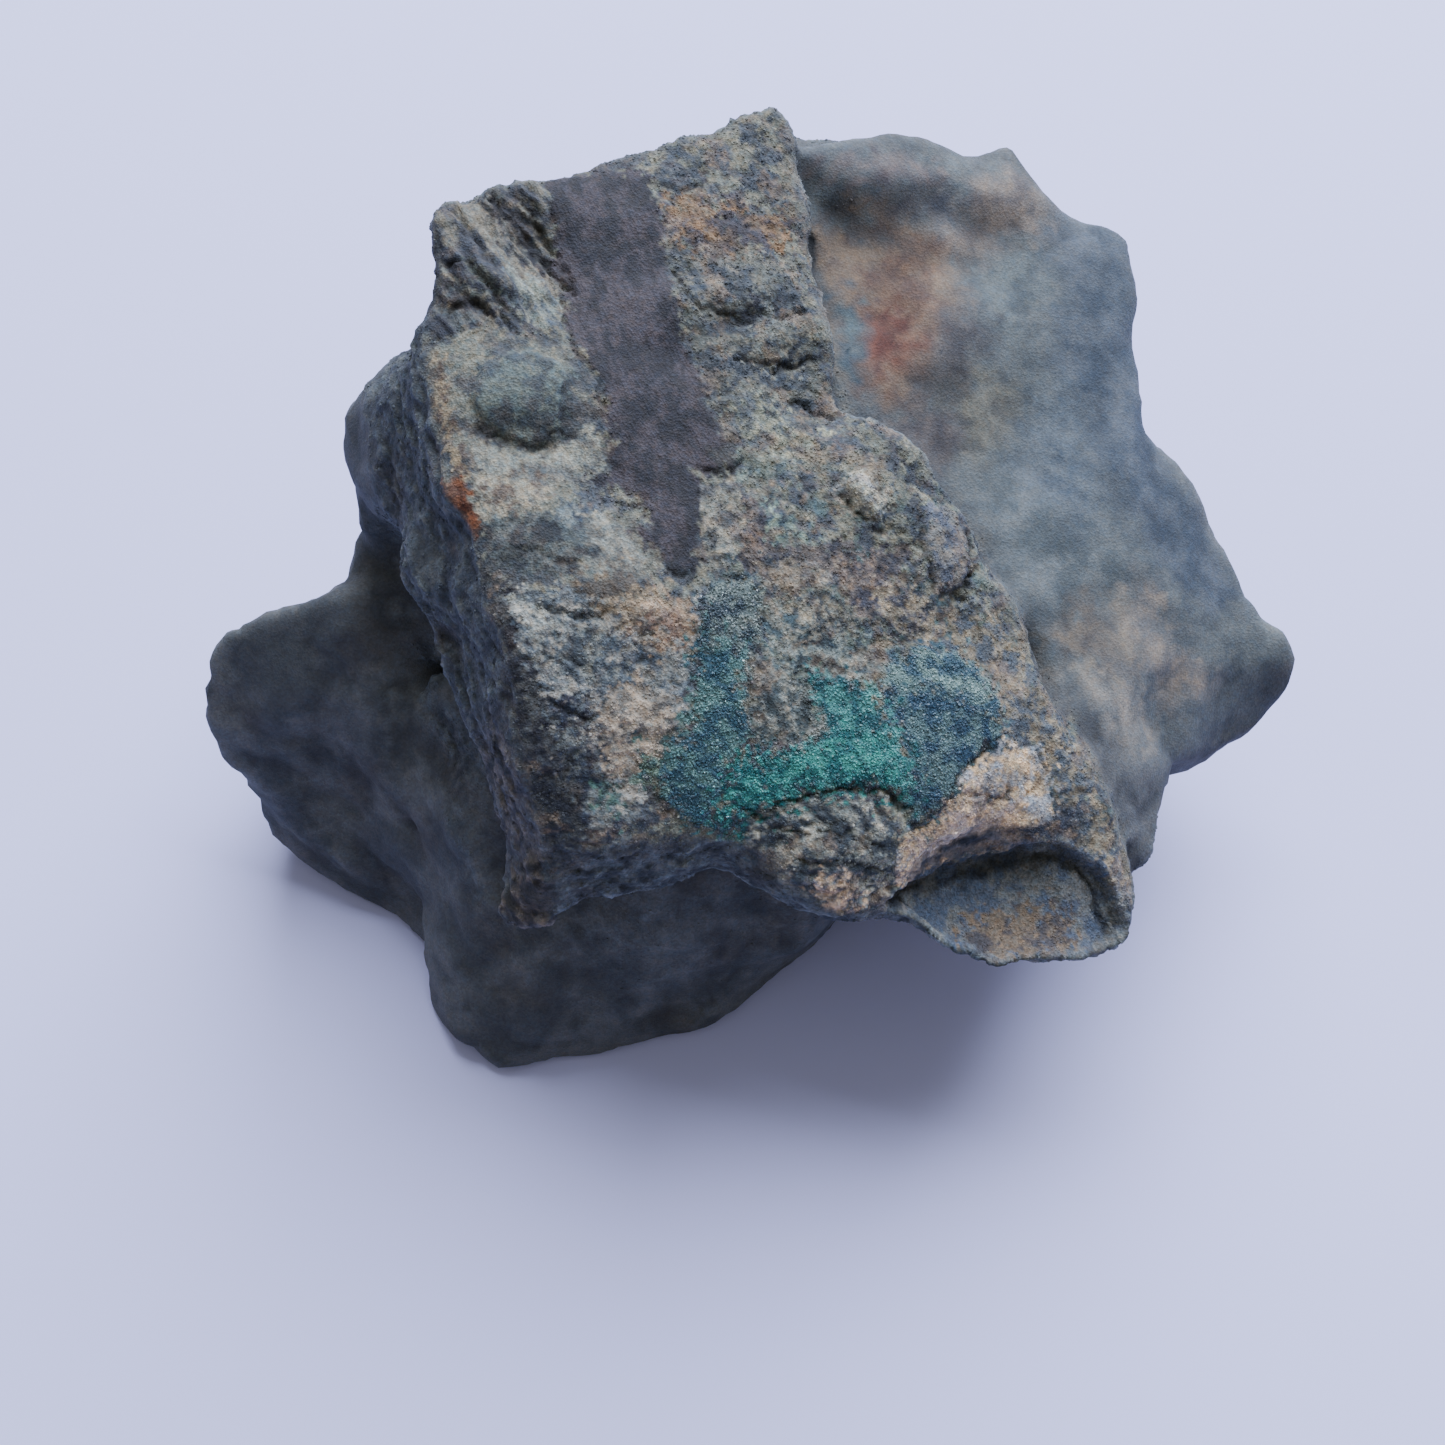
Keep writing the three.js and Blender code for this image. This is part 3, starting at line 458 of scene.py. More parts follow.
deepest = max(depth for _, depth, _ in CRACKS.values())
print("cracks:", len(CRACKS), "deepest in mm:", deepest)

# %% [markdown]
# ## Stains
# Colour on this stone is mostly stain and crust: a plum band, cream and ochre
# patches, rust, and the green field. Each is an outline with a dark and a
# light tone. The tones are written as they look in soft daylight, from 0 to
# 255, and are turned into the share of light that the stone gives back.

# %% Stain outlines
DAYLIGHT = 1.70     # how bright a white sheet is beside the stone

def paint(tone):
    """A colour as it looks, 0 to 255, as the share of light given back."""
    part = np.array(tone, float) / 255
    return np.where(part <= 0.04045, part / 12.92, ((part + 0.055) / 1.055) ** 2.4) / DAYLIGHT

# outline, dark tone, light tone, patch size in mm, width of the speckled edge in mm
# three of these outlines are painted shade: the shade of the two grooves and of the left rim
CREST_STAINS = {
    "right slope": ([(-2.9, 6.9), (-1.8, 7.3), (0.8, 7.4), (2.0, 7.7), (2.2, 6.1), (2.5, 4.5),
        (3.3, 2.3), (3.4, 1.1), (-0.3, 0.7), (-0.9, -0.7), (-1.2, 0.6), (-1.7, 1.9), (-2.2, 3.4),
        (-2.8, 5.1)], (69, 78, 89), (104, 108, 103), 0.9, 0.3),
    "light of the right slope": ([(-2.2, 7.3), (-1.1, 7.9), (-0.5, 6.8), (-0.9, 5.5), (-1.8, 4.9),
        (-2.6, 5.6)], (75, 85, 97), (125, 127, 123), 0.6, 0.3),
    "dark of the right slope": ([(-0.5, 5.1), (0.8, 5.8), (1.6, 5.2), (1.2, 4.7), (-0.1, 4.2)],
        (59, 64, 76), (110, 118, 119), 0.5, 0.3),
    "olive of the right slope": ([(-0.1, 4.4), (1.6, 4.5), (1.9, 3.6), (0.8, 2.5), (0.0, 2.8)],
        (61, 70, 81), (122, 126, 120), 0.6, 0.3),
    "cream right of the plum": ([(-0.7, 1.7), (1.5, 1.9), (3.0, 1.0), (1.9, -0.4), (0.0, -0.4),
        (-0.9, 0.6)], (92, 100, 106), (151, 156, 140), 0.6, 0.3),
    "laminated": ([(-11.9, 8.4), (-9.7, 9.0), (-7.6, 9.4), (-7.5, 7.9), (-7.2, 6.5), (-6.8, 4.5),
        (-6.6, 2.9), (-8.0, 2.9), (-10.2, 2.7), (-11.4, 2.2), (-12.0, 2.9), (-11.9, 4.2)],
        (65, 71, 83), (125, 124, 115), 0.7, 0.15),
    "pale ridge": ([(-9.1, 5.5), (-8.1, 5.3), (-7.1, 4.4), (-6.9, 3.1), (-7.8, 2.9), (-8.6, 3.8)],
        (86, 98, 111), (148, 156, 148), 0.5, 0.3),
    "shade of the first groove": ([(-9.9, 8.8), (-9.3, 8.7), (-8.5, 7.4), (-7.6, 6.4),
        (-6.6, 5.4), (-6.6, 4.6), (-7.5, 5.2), (-8.5, 6.1), (-9.3, 7.0), (-9.7, 7.9)],
        (43, 48, 60), (93, 97, 97), 0.5, 0.2),
    "shade of the second groove": ([(-8.3, 8.3), (-7.8, 8.1), (-7.1, 6.8), (-6.6, 5.9),
        (-6.6, 5.2), (-7.1, 5.9), (-7.7, 6.9)], (47, 52, 64), (97, 100, 97), 0.5, 0.15),
    "dark layers, upper": ([(-11.1, 5.7), (-10.3, 5.5), (-9.2, 4.5), (-8.8, 3.7), (-9.8, 3.8),
        (-10.9, 4.2)], (49, 53, 66), (102, 110, 107), 0.5, 0.2),
    "dark layers, corner": ([(-11.6, 4.4), (-10.2, 4.2), (-9.9, 3.2), (-10.7, 2.5), (-11.6, 2.4)],
        (45, 50, 63), (87, 95, 99), 0.5, 0.2),
    "cream": ([(-11.9, 1.9), (-10.2, 2.7), (-8.0, 2.7), (-6.6, 2.8), (-5.8, 1.7), (-5.3, -0.9),
        (-4.9, -1.8), (-5.8, -1.9), (-6.2, -3.2), (-5.4, -3.6), (-4.0, -3.3), (-3.4, -4.4),
        (-3.1, -5.1), (-3.9, -6.3), (-5.7, -6.6), (-8.1, -6.7), (-9.6, -5.7), (-10.2, -4.0),
        (-10.6, -3.0), (-11.2, -1.6), (-11.7, 0)], (79, 85, 92), (129, 133, 124), 1.5, 0.12),
    "bright cream": ([(-10.1, -1.3), (-8.9, -1.6), (-7.4, -1.6), (-6.1, -0.7), (-5.4, -0.3),
        (-5.3, -1.2), (-5.8, -2.1), (-6.8, -2.4), (-7.8, -3.4), (-8.9, -4.3), (-9.7, -3.9),
        (-10.1, -2.7)], (112, 117, 118), (158, 162, 153), 1.5, 0.15),
    "ochre of the cream": ([(-10.0, -3.0), (-8.9, -2.5), (-7.5, -2.3), (-7.2, -3.0), (-8.0, -3.9),
        (-9.2, -4.3), (-9.9, -3.9)], (110, 102, 96), (173, 169, 153), 0.6, 0.3),
    "grey under cream": ([(-6.8, -3.3), (-5.7, -3.1), (-5.7, -3.8), (-6.4, -4.8), (-6.8, -5.4),
        (-8.1, -5.6), (-8.8, -5.1), (-8.2, -4.5)], (63, 76, 91), (124, 137, 141), 0.6, 0.2),
    "cream lump": ([(-6.1, -3.9), (-5.2, -3.5), (-4.2, -4.0), (-3.9, -5.0), (-4.3, -6.1),
        (-5.2, -6.2), (-5.9, -5.8), (-6.2, -4.8)], (104, 107, 105), (156, 160, 153), 0.8, 0.2),
    "cream strip": ([(-2.0, -1.7), (-0.4, -1.4), (-0.1, -2.3), (-0.3, -3.8), (-0.7, -5.0),
        (-1.6, -5.5), (-1.8, -4.7), (-1.7, -3.3)], (102, 106, 110), (154, 154, 143), 0.6, 0.15),
    "ochre rim": ([(-11.7, 1.9), (-11.2, 1.9), (-11.0, 0.7), (-10.6, -0.8), (-10.2, -2.1),
        (-9.8, -3.0), (-10.5, -3.1), (-11.1, -1.3), (-11.6, 0.2)],
        (94, 84, 79), (167, 154, 130), 0.4, 0.15),
    "olive mound": ([(-10.0, 0.2), (-9.7, 1.2), (-9.1, 1.8), (-8.0, 2.1), (-6.9, 1.9),
        (-6.5, 1.1), (-6.7, -0.1), (-6.8, -0.8), (-7.5, -1.3), (-8.8, -1.2), (-9.7, -0.7)],
        (74, 85, 93), (108, 121, 119), 0.7, 0.15),
    "orange peak": ([(-3.4, 8.9), (-1.8, 9.4), (0.4, 9.3), (1.8, 9.6), (1.7, 8.2), (0.4, 7.6),
        (-1.8, 7.3), (-3.0, 7.7)], (74, 73, 83), (129, 106, 83), 0.7, 0.4),
    "blue patch": ([(-9.9, -4.2), (-8.2, -3.8), (-6.8, -3.8), (-5.9, -4.2), (-5.7, -5.2),
        (-6.2, -6.0), (-7.4, -6.0), (-9.4, -5.8), (-9.9, -5.2)],
        (46, 55, 65), (92, 103, 106), 0.9, 0.25),
    "sand": ([(-9.0, -6.9), (-6.7, -6.5), (-3.9, -6.2), (-1.8, -6.1), (-1.6, -7.4), (-2.1, -9.1),
        (-2.5, -10.4), (-3.4, -11.1), (-3.6, -12.3), (-4.6, -13.4), (-6.1, -13.8), (-7.3, -12.5),
        (-7.6, -11.1), (-8.4, -9.7), (-8.9, -8.4)], (113, 126, 137), (173, 173, 168), 1.0, 0.2),
    "blue band of the sand": ([(-4.9, -7.9), (-3.9, -7.7), (-2.2, -8.0), (-2.2, -8.8),
        (-3.4, -9.0), (-4.6, -8.7)], (86, 98, 111), (144, 148, 145), 0.5, 0.2),
    "blue flecks of the sand": ([(-6.0, -9.5), (-5.3, -9.3), (-5.0, -10.0), (-5.3, -10.8),
        (-6.0, -10.6)], (86, 96, 111), (146, 152, 153), 0.5, 0.2),
    "white flakes": ([(-8.3, -6.9), (-7.3, -6.6), (-6.7, -7.4), (-6.9, -8.5), (-7.6, -9.0),
        (-8.1, -8.2)], (85, 94, 102), (178, 183, 178), 0.5, 0.3),
    "ochre top of the sand": ([(-6.2, -6.2), (-4.6, -5.8), (-3.0, -5.9), (-2.0, -6.3),
        (-1.8, -7.3), (-3.2, -7.8), (-4.6, -7.6), (-5.9, -7.4)],
        (94, 91, 87), (155, 142, 122), 0.6, 0.4),
    "red blush": ([(-3.9, -6.6), (-2.7, -6.4), (-2.0, -6.7), (-2.2, -7.5), (-3.2, -7.6),
        (-3.8, -7.2)], (153, 131, 118), (190, 168, 145), 0.5, 0.4),
    "tan of the sand": ([(-5.3, -9.4), (-3.9, -9.0), (-2.7, -9.2), (-2.7, -10.4), (-3.4, -11.6),
        (-4.5, -12.3), (-5.3, -11.8), (-5.6, -10.8)], (125, 124, 121), (195, 182, 165), 0.9, 0.2),
    "grey of the sand": ([(-6.7, -7.5), (-5.7, -6.6), (-5.0, -7.8), (-5.3, -9.4), (-6.2, -9.8),
        (-6.9, -9.3)], (84, 95, 105), (150, 156, 153), 0.8, 0.3),
    "dull corner of the sand": ([(-7.4, -10.0), (-6.1, -9.8), (-5.3, -11.5), (-4.6, -13.2),
        (-3.9, -14.1), (-5.4, -14.4), (-6.7, -14.5), (-7.0, -12.9)],
        (53, 62, 80), (121, 129, 132), 0.7, 0.3),
    # painted shade along the left edge of the crest, where it curls down
    "dark left rim": ([(-9.8, -5.1), (-9.1, -5.7), (-8.5, -7.3), (-8.0, -8.4), (-7.3, -10.0),
        (-6.7, -11.5), (-6.0, -12.6), (-5.6, -14.2), (-7.5, -14.9), (-8.6, -12.6), (-9.2, -10.0),
        (-9.8, -8.2), (-10.6, -6.7)], (40, 44, 56), (76, 80, 84), 0.7, 0.25),
    "plum band": ([(-7.6, 9.4), (-5.6, 10.3), (-4.0, 10.3), (-3.4, 9.1), (-3.1, 7.1), (-2.9, 5.1),
        (-2.2, 3.4), (-1.7, 1.9), (-1.2, 0.6), (-0.7, -0.5), (-0.3, -1.2), (-1.3, -1.4),
        (-2.0, -1.3), (-1.8, -2.6), (-1.7, -3.6), (-1.9, -5.1), (-2.5, -5.3), (-3.1, -4.9),
        (-3.6, -4.4), (-4.2, -4.1), (-3.7, -3.6), (-3.4, -3.0), (-4.0, -2.6), (-4.8, -2.4),
        (-5.4, -2.5), (-5.8, -2.0), (-5.0, -1.7), (-5.1, -0.8), (-5.3, 0.7), (-5.8, 1.8),
        (-6.6, 2.9), (-6.8, 4.5), (-7.2, 6.5)], (43, 46, 57), (71, 68, 78), 0.9, 0.08),
    "end of the plum": ([(-1.7, -0.5), (-1.0, -0.3), (-0.3, -0.6), (-0.3, -1.2), (-1.3, -1.4)],
        (43, 46, 56), (72, 74, 77), 0.4, 0.1),
    "dark pocket": ([(-0.4, -2.0), (0.2, -2.2), (0.8, -3.0), (1.2, -3.6), (2.6, -3.5),
        (4.1, -3.4), (5.8, -2.8), (6.0, -3.4), (5.4, -4.6), (4.8, -5.8), (4.1, -5.8), (3.5, -5.0),
        (2.4, -4.4), (1.2, -4.8), (0.6, -4.4), (-0.1, -4.8), (-0.4, -4.0)],
        (65, 67, 79), (111, 105, 102), 0.5, 0.25),
    "pink island": ([(0.7, -4.1), (1.9, -4.1), (2.9, -4.5), (2.6, -5.2), (1.5, -5.3),
        (0.7, -4.9)], (94, 96, 101), (160, 152, 138), 0.5, 0.3),
    "tan middle": ([(0.8, -5.8), (1.8, -5.4), (3.3, -5.3), (3.7, -6.0), (2.9, -7.1), (1.5, -7.7),
        (0.8, -7.1)], (85, 91, 95), (165, 162, 147), 0.5, 0.4),
    "dark speck field": ([(0.7, -7.8), (1.8, -6.5), (3.3, -6.7), (4.4, -6.5), (4.8, -7.5),
        (3.7, -8.4), (2.4, -8.6), (1.5, -8.3)], (63, 78, 87), (146, 158, 155), 0.35, 0.3),
    "ochre diagonal": ([(4.5, -4.8), (5.6, -4.2), (6.7, -4.7), (7.9, -5.6), (8.9, -6.3),
        (7.9, -6.5), (6.7, -6.1), (5.6, -6.4), (4.8, -5.8)],
        (86, 88, 98), (165, 156, 138), 0.5, 0.3),
    "teal of the middle": ([(0.8, -2.2), (1.7, -2.4), (2.4, -3.0), (1.9, -3.6), (0.9, -3.2),
        (0.4, -2.8)], (63, 84, 96), (136, 156, 145), 0.4, 0.3),
    "rusty streak": ([(7.5, -4.7), (8.5, -5.3), (9.5, -6.1), (9.0, -6.6), (8.1, -6.0),
        (7.3, -5.3)], (130, 123, 123), (184, 162, 138), 0.4, 0.3),
    "boss": ([(6.6, -1.2), (7.8, -1.0), (8.3, -2.0), (8.3, -3.6), (7.7, -4.3), (7.0, -4.3),
        (6.6, -3.3)], (95, 104, 121), (132, 132, 130), 0.5, 0.2),
    "pale knob": ([(3.4, -1.1), (4.0, -0.7), (4.6, -1.0), (5.1, -1.6), (5.0, -2.2), (4.4, -2.2),
        (3.8, -1.7)], (169, 180, 186), (220, 220, 200), 0.6, 0.1),
    "speckled rim": ([(7.9, -4.4), (9.5, -4.9), (11.1, -6.3), (12.4, -8.5), (13.4, -10.4),
        (14.6, -12.2), (15.4, -13.4), (14.9, -15.0), (13.6, -13.3), (12.8, -12.5), (11.8, -11.9),
        (11.6, -10.1), (11.0, -9.2), (9.4, -9.3), (9.2, -9.2), (9.4, -8.3), (8.8, -7.5),
        (7.8, -6.7), (7.1, -6.1)], (92, 103, 116), (145, 138, 122), 0.6, 0.3),
    "pink sand": ([(5.9, -12.6), (6.9, -12.2), (7.4, -11.4), (8.1, -10.3), (9.4, -9.3),
        (11.0, -9.2), (11.6, -10.1), (11.8, -11.9), (10.6, -12.1), (9.4, -12.3), (7.4, -12.9),
        (6.3, -13.7), (5.6, -14.4), (5.3, -13.7), (5.3, -13.0)],
        (175, 182, 191), (234, 207, 171), 0.8, 0.15),
    "bright pink sand": ([(5.4, -14.0), (5.7, -13.4), (6.5, -12.7), (7.2, -11.7), (8.0, -11.0),
        (9.4, -10.9), (10.2, -11.3), (10.6, -12.0), (9.4, -12.3), (7.8, -12.8), (6.5, -13.6),
        (5.8, -14.3)], (203, 186, 178), (251, 220, 184), 0.6, 0.4),
    "grey tongue": ([(-0.1, -12.4), (1.5, -12.1), (2.9, -11.7), (4.9, -11.6), (5.7, -12.5),
        (5.3, -13.0), (5.3, -13.7), (5.6, -14.5), (4.6, -15.2), (3.6, -15.8), (2.0, -15.2),
        (0.7, -14.0), (0.0, -13.4)], (69, 79, 89), (166, 170, 163), 0.5, 0.12),
    "rusty tip": ([(2.2, -14.3), (3.0, -14.1), (3.9, -14.3), (4.3, -15.2), (3.5, -15.8),
        (2.6, -15.2)], (103, 108, 118), (238, 208, 177), 0.5, 0.2),
    "hollow": ([(5.0, -14.6), (6.1, -13.6), (7.3, -12.8), (9.3, -12.2), (11.0, -11.9),
        (12.1, -11.9), (13.4, -12.5), (14.0, -13.2), (14.8, -14.4), (14.8, -16.4), (12.0, -18.0),
        (10.3, -18.1), (8.2, -17.7), (6.4, -17.0), (5.0, -16.0)],
        (86, 99, 121), (117, 123, 128), 0.8, 0.1),
    "hollow, rusty middle": ([(8.6, -14.4), (10.4, -13.9), (12.2, -14.2), (12.6, -15.4),
        (11.0, -16.2), (9.2, -15.9), (8.2, -15.2)], (80, 79, 86), (126, 114, 101), 0.7, 0.4),
    "teal column": ([(-1.8, -6.1), (-1.0, -5.3), (-0.2, -5.2), (0.5, -5.8), (0.3, -7.2),
        (-0.1, -8.2), (-0.1, -9.3), (0.1, -10.4), (-0.5, -11.1), (-1.1, -12.3), (-1.5, -13.1),
        (-2.2, -12.9), (-3.0, -12.5), (-3.4, -11.8), (-2.8, -10.8), (-2.2, -10.5), (-2.0, -9.4),
        (-1.9, -7.8)], (57, 95, 113), (97, 137, 138), 0.6, 0.3),
    "grey top of the column": ([(-1.4, -5.3), (-0.5, -5.0), (0.6, -5.2), (0.7, -6.1), (0.2, -7.2),
        (-0.5, -7.5), (-1.4, -7.4), (-1.8, -6.4)], (61, 79, 92), (116, 133, 133), 0.5, 0.35),
    "teal between": ([(0.5, -5.8), (1.5, -6.3), (1.3, -7.3), (0.5, -8.1), (0.0, -8.2),
        (0.3, -7.2)], (71, 92, 103), (138, 144, 138), 0.5, 0.5),
    "green spot": ([(-3.9, -11.1), (-3.2, -10.9), (-3.0, -11.8), (-3.4, -12.2), (-3.9, -12.0)],
        (73, 117, 122), (130, 158, 145), 0.5, 0.25),
    "small green spot": ([(-5.4, -12.3), (-4.7, -12.1), (-4.4, -12.6), (-5.0, -13.0),
        (-5.4, -12.8)], (65, 92, 98), (95, 132, 126), 0.5, 0.3),
    "green top": ([(4.9, -8.3), (4.8, -7.4), (5.8, -6.6), (7.1, -6.2), (8.5, -6.5), (9.2, -7.4),
        (9.4, -8.4), (9.0, -9.2), (7.8, -8.4), (6.7, -7.9), (5.7, -8.3)],
        (65, 97, 116), (128, 157, 157), 0.6, 0.4),
    "indigo field": ([(4.6, -8.5), (5.7, -8.0), (6.7, -7.6), (7.8, -8.0), (9.2, -8.4),
        (9.2, -9.2), (8.0, -10.3), (7.4, -11.4), (6.8, -12.2), (5.9, -12.5), (5.6, -11.6),
        (5.9, -10.3), (5.4, -9.6), (4.8, -9.4)], (51, 83, 107), (100, 130, 136), 0.6, 0.25),
    "green field": ([(-1.5, -13.1), (-1.1, -12.3), (-0.5, -11.1), (0.4, -10.5), (1.8, -10.2),
        (2.3, -9.7), (2.0, -8.7), (2.4, -7.9), (3.3, -7.9), (4.3, -8.2), (4.9, -8.2), (5.0, -9.2),
        (5.8, -9.9), (6.1, -10.8), (5.8, -11.6), (4.8, -11.6), (3.3, -11.6), (1.8, -12.0),
        (0.4, -12.3), (-0.4, -13.0)], (42, 95, 106), (90, 158, 158), 0.7, 0.4),
    "brightest green": ([(-0.9, -12.6), (-0.3, -11.3), (1.8, -10.6), (3.2, -9.9), (4.9, -10.2),
        (5.4, -11.0), (4.4, -11.4), (2.6, -11.3), (0.8, -12.0)],
        (33, 106, 112), (78, 165, 158), 0.5, 0.6),
    "brown island": ([(0.0, -8.2), (0.9, -8.0), (1.8, -8.3), (2.3, -9.0), (2.3, -10.0),
        (1.5, -10.3), (0.5, -10.4), (0.1, -9.9), (-0.1, -9.2)],
        (73, 86, 91), (142, 148, 143), 0.4, 0.25),
    "brown flake": ([(-12.4, -3.7), (-11.3, -2.9), (-10.6, -2.7), (-10.1, -3.0), (-9.8, -3.7),
        (-9.8, -4.5), (-10.9, -5.0)], (95, 54, 38), (146, 91, 62), 0.4, 0.06),
    "dark corner": ([(-7.9, -11.7), (-6.9, -12.5), (-6.1, -13.3), (-6.6, -14.6), (-7.9, -15.0),
        (-8.4, -12.9)], (41, 48, 62), (71, 77, 85), 0.6, 0.3),
}
# these run in streaks: direction on the plan, and how many times longer than wide
STREAKS = {
    "laminated": ((0.60, -0.80), 5), "pale ridge": ((0.60, -0.80), 4),
    "shade of the first groove": ((0.65, -0.75), 6),
    "shade of the second groove": ((0.6, -0.8), 6), "dark layers, upper": ((0.75, -0.66), 5),
    "dark layers, corner": ((0.9, -0.4), 4), "plum band": ((0.25, -0.97), 1.6),
    "cream": ((1.0, -0.3), 1.8), "sand": ((1.0, 0.1), 1.8), "white flakes": ((1.0, 0.1), 2.0),
    "ochre top of the sand": ((1.0, -0.2), 2.2), "grey tongue": ((0.8, -0.6), 2.0),
    "orange peak": ((1.0, -0.25), 2.0), "right slope": ((1.0, 0.2), 2.0),
}
print("crest stains:", len(CREST_STAINS), "in streaks:", len(STREAKS))

# %% Flank outlines
FLANK_STAINS = {
    "bluish middle": ([(9.2, 3.1), (12.4, 3.5), (14.4, 0.7), (15.1, -1.8), (12.1, -3.6),
        (9.8, -1.7)], (84, 96, 105), (116, 126, 133), 1.4, 1.0),
    "blue margin": ([(11.9, 14.3), (16.4, 13.7), (16.9, 8.6), (17.5, 4.2), (19.3, 1.5),
        (22.1, -1.0), (18.7, -1.9), (16.5, -0.6), (14.0, 2.2), (12.9, 5.2), (12.4, 9.2)],
        (66, 79, 96), (92, 103, 118), 1.4, 0.8),
    "blue green": ([(9.1, 10.4), (10.6, 11.2), (11.9, 11.2), (11.8, 9.2), (10.5, 7.4),
        (9.4, 8.3)], (78, 91, 102), (108, 120, 126), 1.0, 0.8),
    "brown top": ([(2.9, 12.6), (4.8, 13.1), (7.3, 13.6), (8.3, 13.5), (7.3, 12.8), (5.2, 12.3),
        (3.2, 11.9)], (88, 84, 92), (122, 116, 118), 1.0, 0.5),
    # partly the ochre of the flank, and partly painted light that lifts the shade of the groove at
    # the top of the flank
    "ochre band": ([(6.2, 10.6), (7.9, 11.6), (8.5, 12.9), (9.8, 13.8), (11.3, 14.2),
        (12.4, 13.7), (12.0, 12.3), (10.2, 11.0), (8.4, 10.2), (6.8, 10.0)],
        (101, 99, 103), (142, 134, 128), 1.2, 0.7),
    "dark blotch": ([(5.1, 11.5), (6.4, 12.1), (8.3, 13.0), (8.5, 12.2), (7.4, 11.4),
        (5.6, 10.9)], (76, 82, 96), (112, 114, 118), 0.9, 0.4),
    "ochre field": ([(2.3, 10.6), (4.1, 11.2), (6.5, 11.2), (7.9, 10.6), (8.7, 8.6), (8.0, 5.7),
        (6.8, 4.0), (5.2, 3.8), (4.0, 4.3), (3.4, 6.1), (2.7, 7.9)],
        (100, 90, 88), (136, 122, 108), 1.1, 0.7),
    "dark brown": ([(7.5, 7.8), (9.0, 8.3), (9.6, 7.5), (9.3, 5.7), (8.2, 4.3), (7.2, 4.6),
        (7.1, 6.2)], (74, 76, 84), (98, 98, 102), 0.9, 0.6),
    "orange": ([(4.4, 9.6), (6.0, 10.4), (7.2, 10.3), (7.4, 8.4), (6.9, 6.1), (6.4, 4.5),
        (5.2, 4.3), (4.8, 5.9), (4.6, 7.9)], (99, 82, 78), (133, 110, 95), 0.9, 0.6),
    "red spot": ([(4.8, 7.4), (5.5, 8.0), (6.2, 7.4), (6.3, 5.9), (5.5, 4.9), (4.8, 5.2)],
        (91, 55, 51), (118, 76, 66), 0.8, 0.5),
    "green edge": ([(2.1, 8.7), (3.1, 8.9), (3.4, 7.6), (3.3, 6.0), (3.7, 4.6), (2.9, 4.7),
        (2.4, 6.2)], (102, 96, 92), (146, 138, 122), 0.8, 0.3),
    "blue streak": ([(3.2, 8.2), (3.9, 8.5), (4.4, 7.3), (4.5, 5.6), (3.9, 5.0), (3.4, 6.0)],
        (68, 85, 99), (94, 112, 121), 0.9, 0.3),
    "olive ochre": ([(7.9, 4.8), (9.5, 5.7), (10.9, 5.2), (10.5, 3.5), (9.2, 2.2), (8.0, 2.3)],
        (84, 88, 90), (120, 122, 116), 1.0, 0.6),
    "red brown, low": ([(5.7, 3.5), (7.3, 4.2), (8.4, 3.7), (8.3, 2.0), (6.9, 1.1), (6.0, 1.7)],
        (76, 76, 84), (104, 100, 102), 0.9, 0.5),
    "slate": ([(11.2, 4.7), (13.0, 5.9), (13.5, 3.5), (14.5, 1.7), (13.0, -0.6), (11.4, 0.5),
        (10.6, 2.3)], (78, 92, 108), (106, 118, 130), 1.2, 0.8),
    "pale ochre, low": ([(12.9, -3.1), (15.1, -1.9), (16.3, -3.5), (14.8, -6.4), (13.1, -6.1)],
        (98, 100, 104), (140, 134, 124), 1.1, 0.6),
    "ochre, low": ([(9.5, -4.1), (11.1, -4.0), (11.9, -5.4), (10.6, -7.1), (9.4, -6.3)],
        (90, 96, 104), (138, 132, 122), 1.0, 0.5),
    "ochre spot": ([(12.1, -3.6), (13.6, -2.5), (14.2, -3.5), (13.4, -4.6), (12.3, -4.7)],
        (83, 83, 86), (115, 109, 102), 1.0, 0.6),
    "ochre corner": ([(15.1, -1.8), (16.7, -1.8), (16.8, -3.3), (18.0, -3.7), (18.9, -4.1),
        (18.2, -5.0), (16.4, -5.2), (15.5, -3.9)], (116, 119, 124), (160, 151, 141), 0.9, 0.7),
    "tan foot": ([(13.3, -6.3), (15.0, -5.5), (16.1, -6.6), (15.9, -8.8), (14.5, -9.6),
        (13.6, -8.4)], (125, 129, 131), (171, 165, 156), 1.0, 0.7),
}
WALL_STAINS = {
    "left wall": ([(-16.0, 9.5), (-10.8, 9.5), (-10.4, 0.0), (-8.8, -6.0), (-7.2, -13.4),
        (-11.0, -14.5), (-16.0, -6.0)], (57, 65, 75), (85, 93, 100), 0.8, 0.4),
    "sand over the lip": ([(5.6, -13.9), (6.4, -12.5), (8.0, -11.5), (10.3, -11.2), (11.0, -12.4),
        (9.0, -13.1), (7.4, -13.9)], (160, 155, 154), (240, 220, 200), 0.7, 0.3),
    "corner pillar": ([(-9.2, -13.6), (-7.4, -13.6), (-7.1, -15.6), (-7.4, -17.0), (-9.2, -17.0)],
        (44, 46, 50), (104, 98, 92), 0.7, 0.4),
    "rusty fleck under the crest": ([(-9.9, -9.8), (-8.8, -9.8), (-8.0, -12.6), (-7.7, -13.6),
        (-8.9, -13.4)], (46, 50, 58), (100, 98, 98), 0.7, 0.5),
}
CREST_GROUND = (77, 86, 98), (131, 134, 123)     # stone with no stain of its own
FLANK_GROUND = (84, 94, 103), (108, 117, 123)
BODY_GROUND = (70, 76, 84), (98, 103, 109)        # lobe, foot, back and underside
WALL_GROUND = (50, 57, 64), (96, 104, 109)        # the broken walls of the top slab
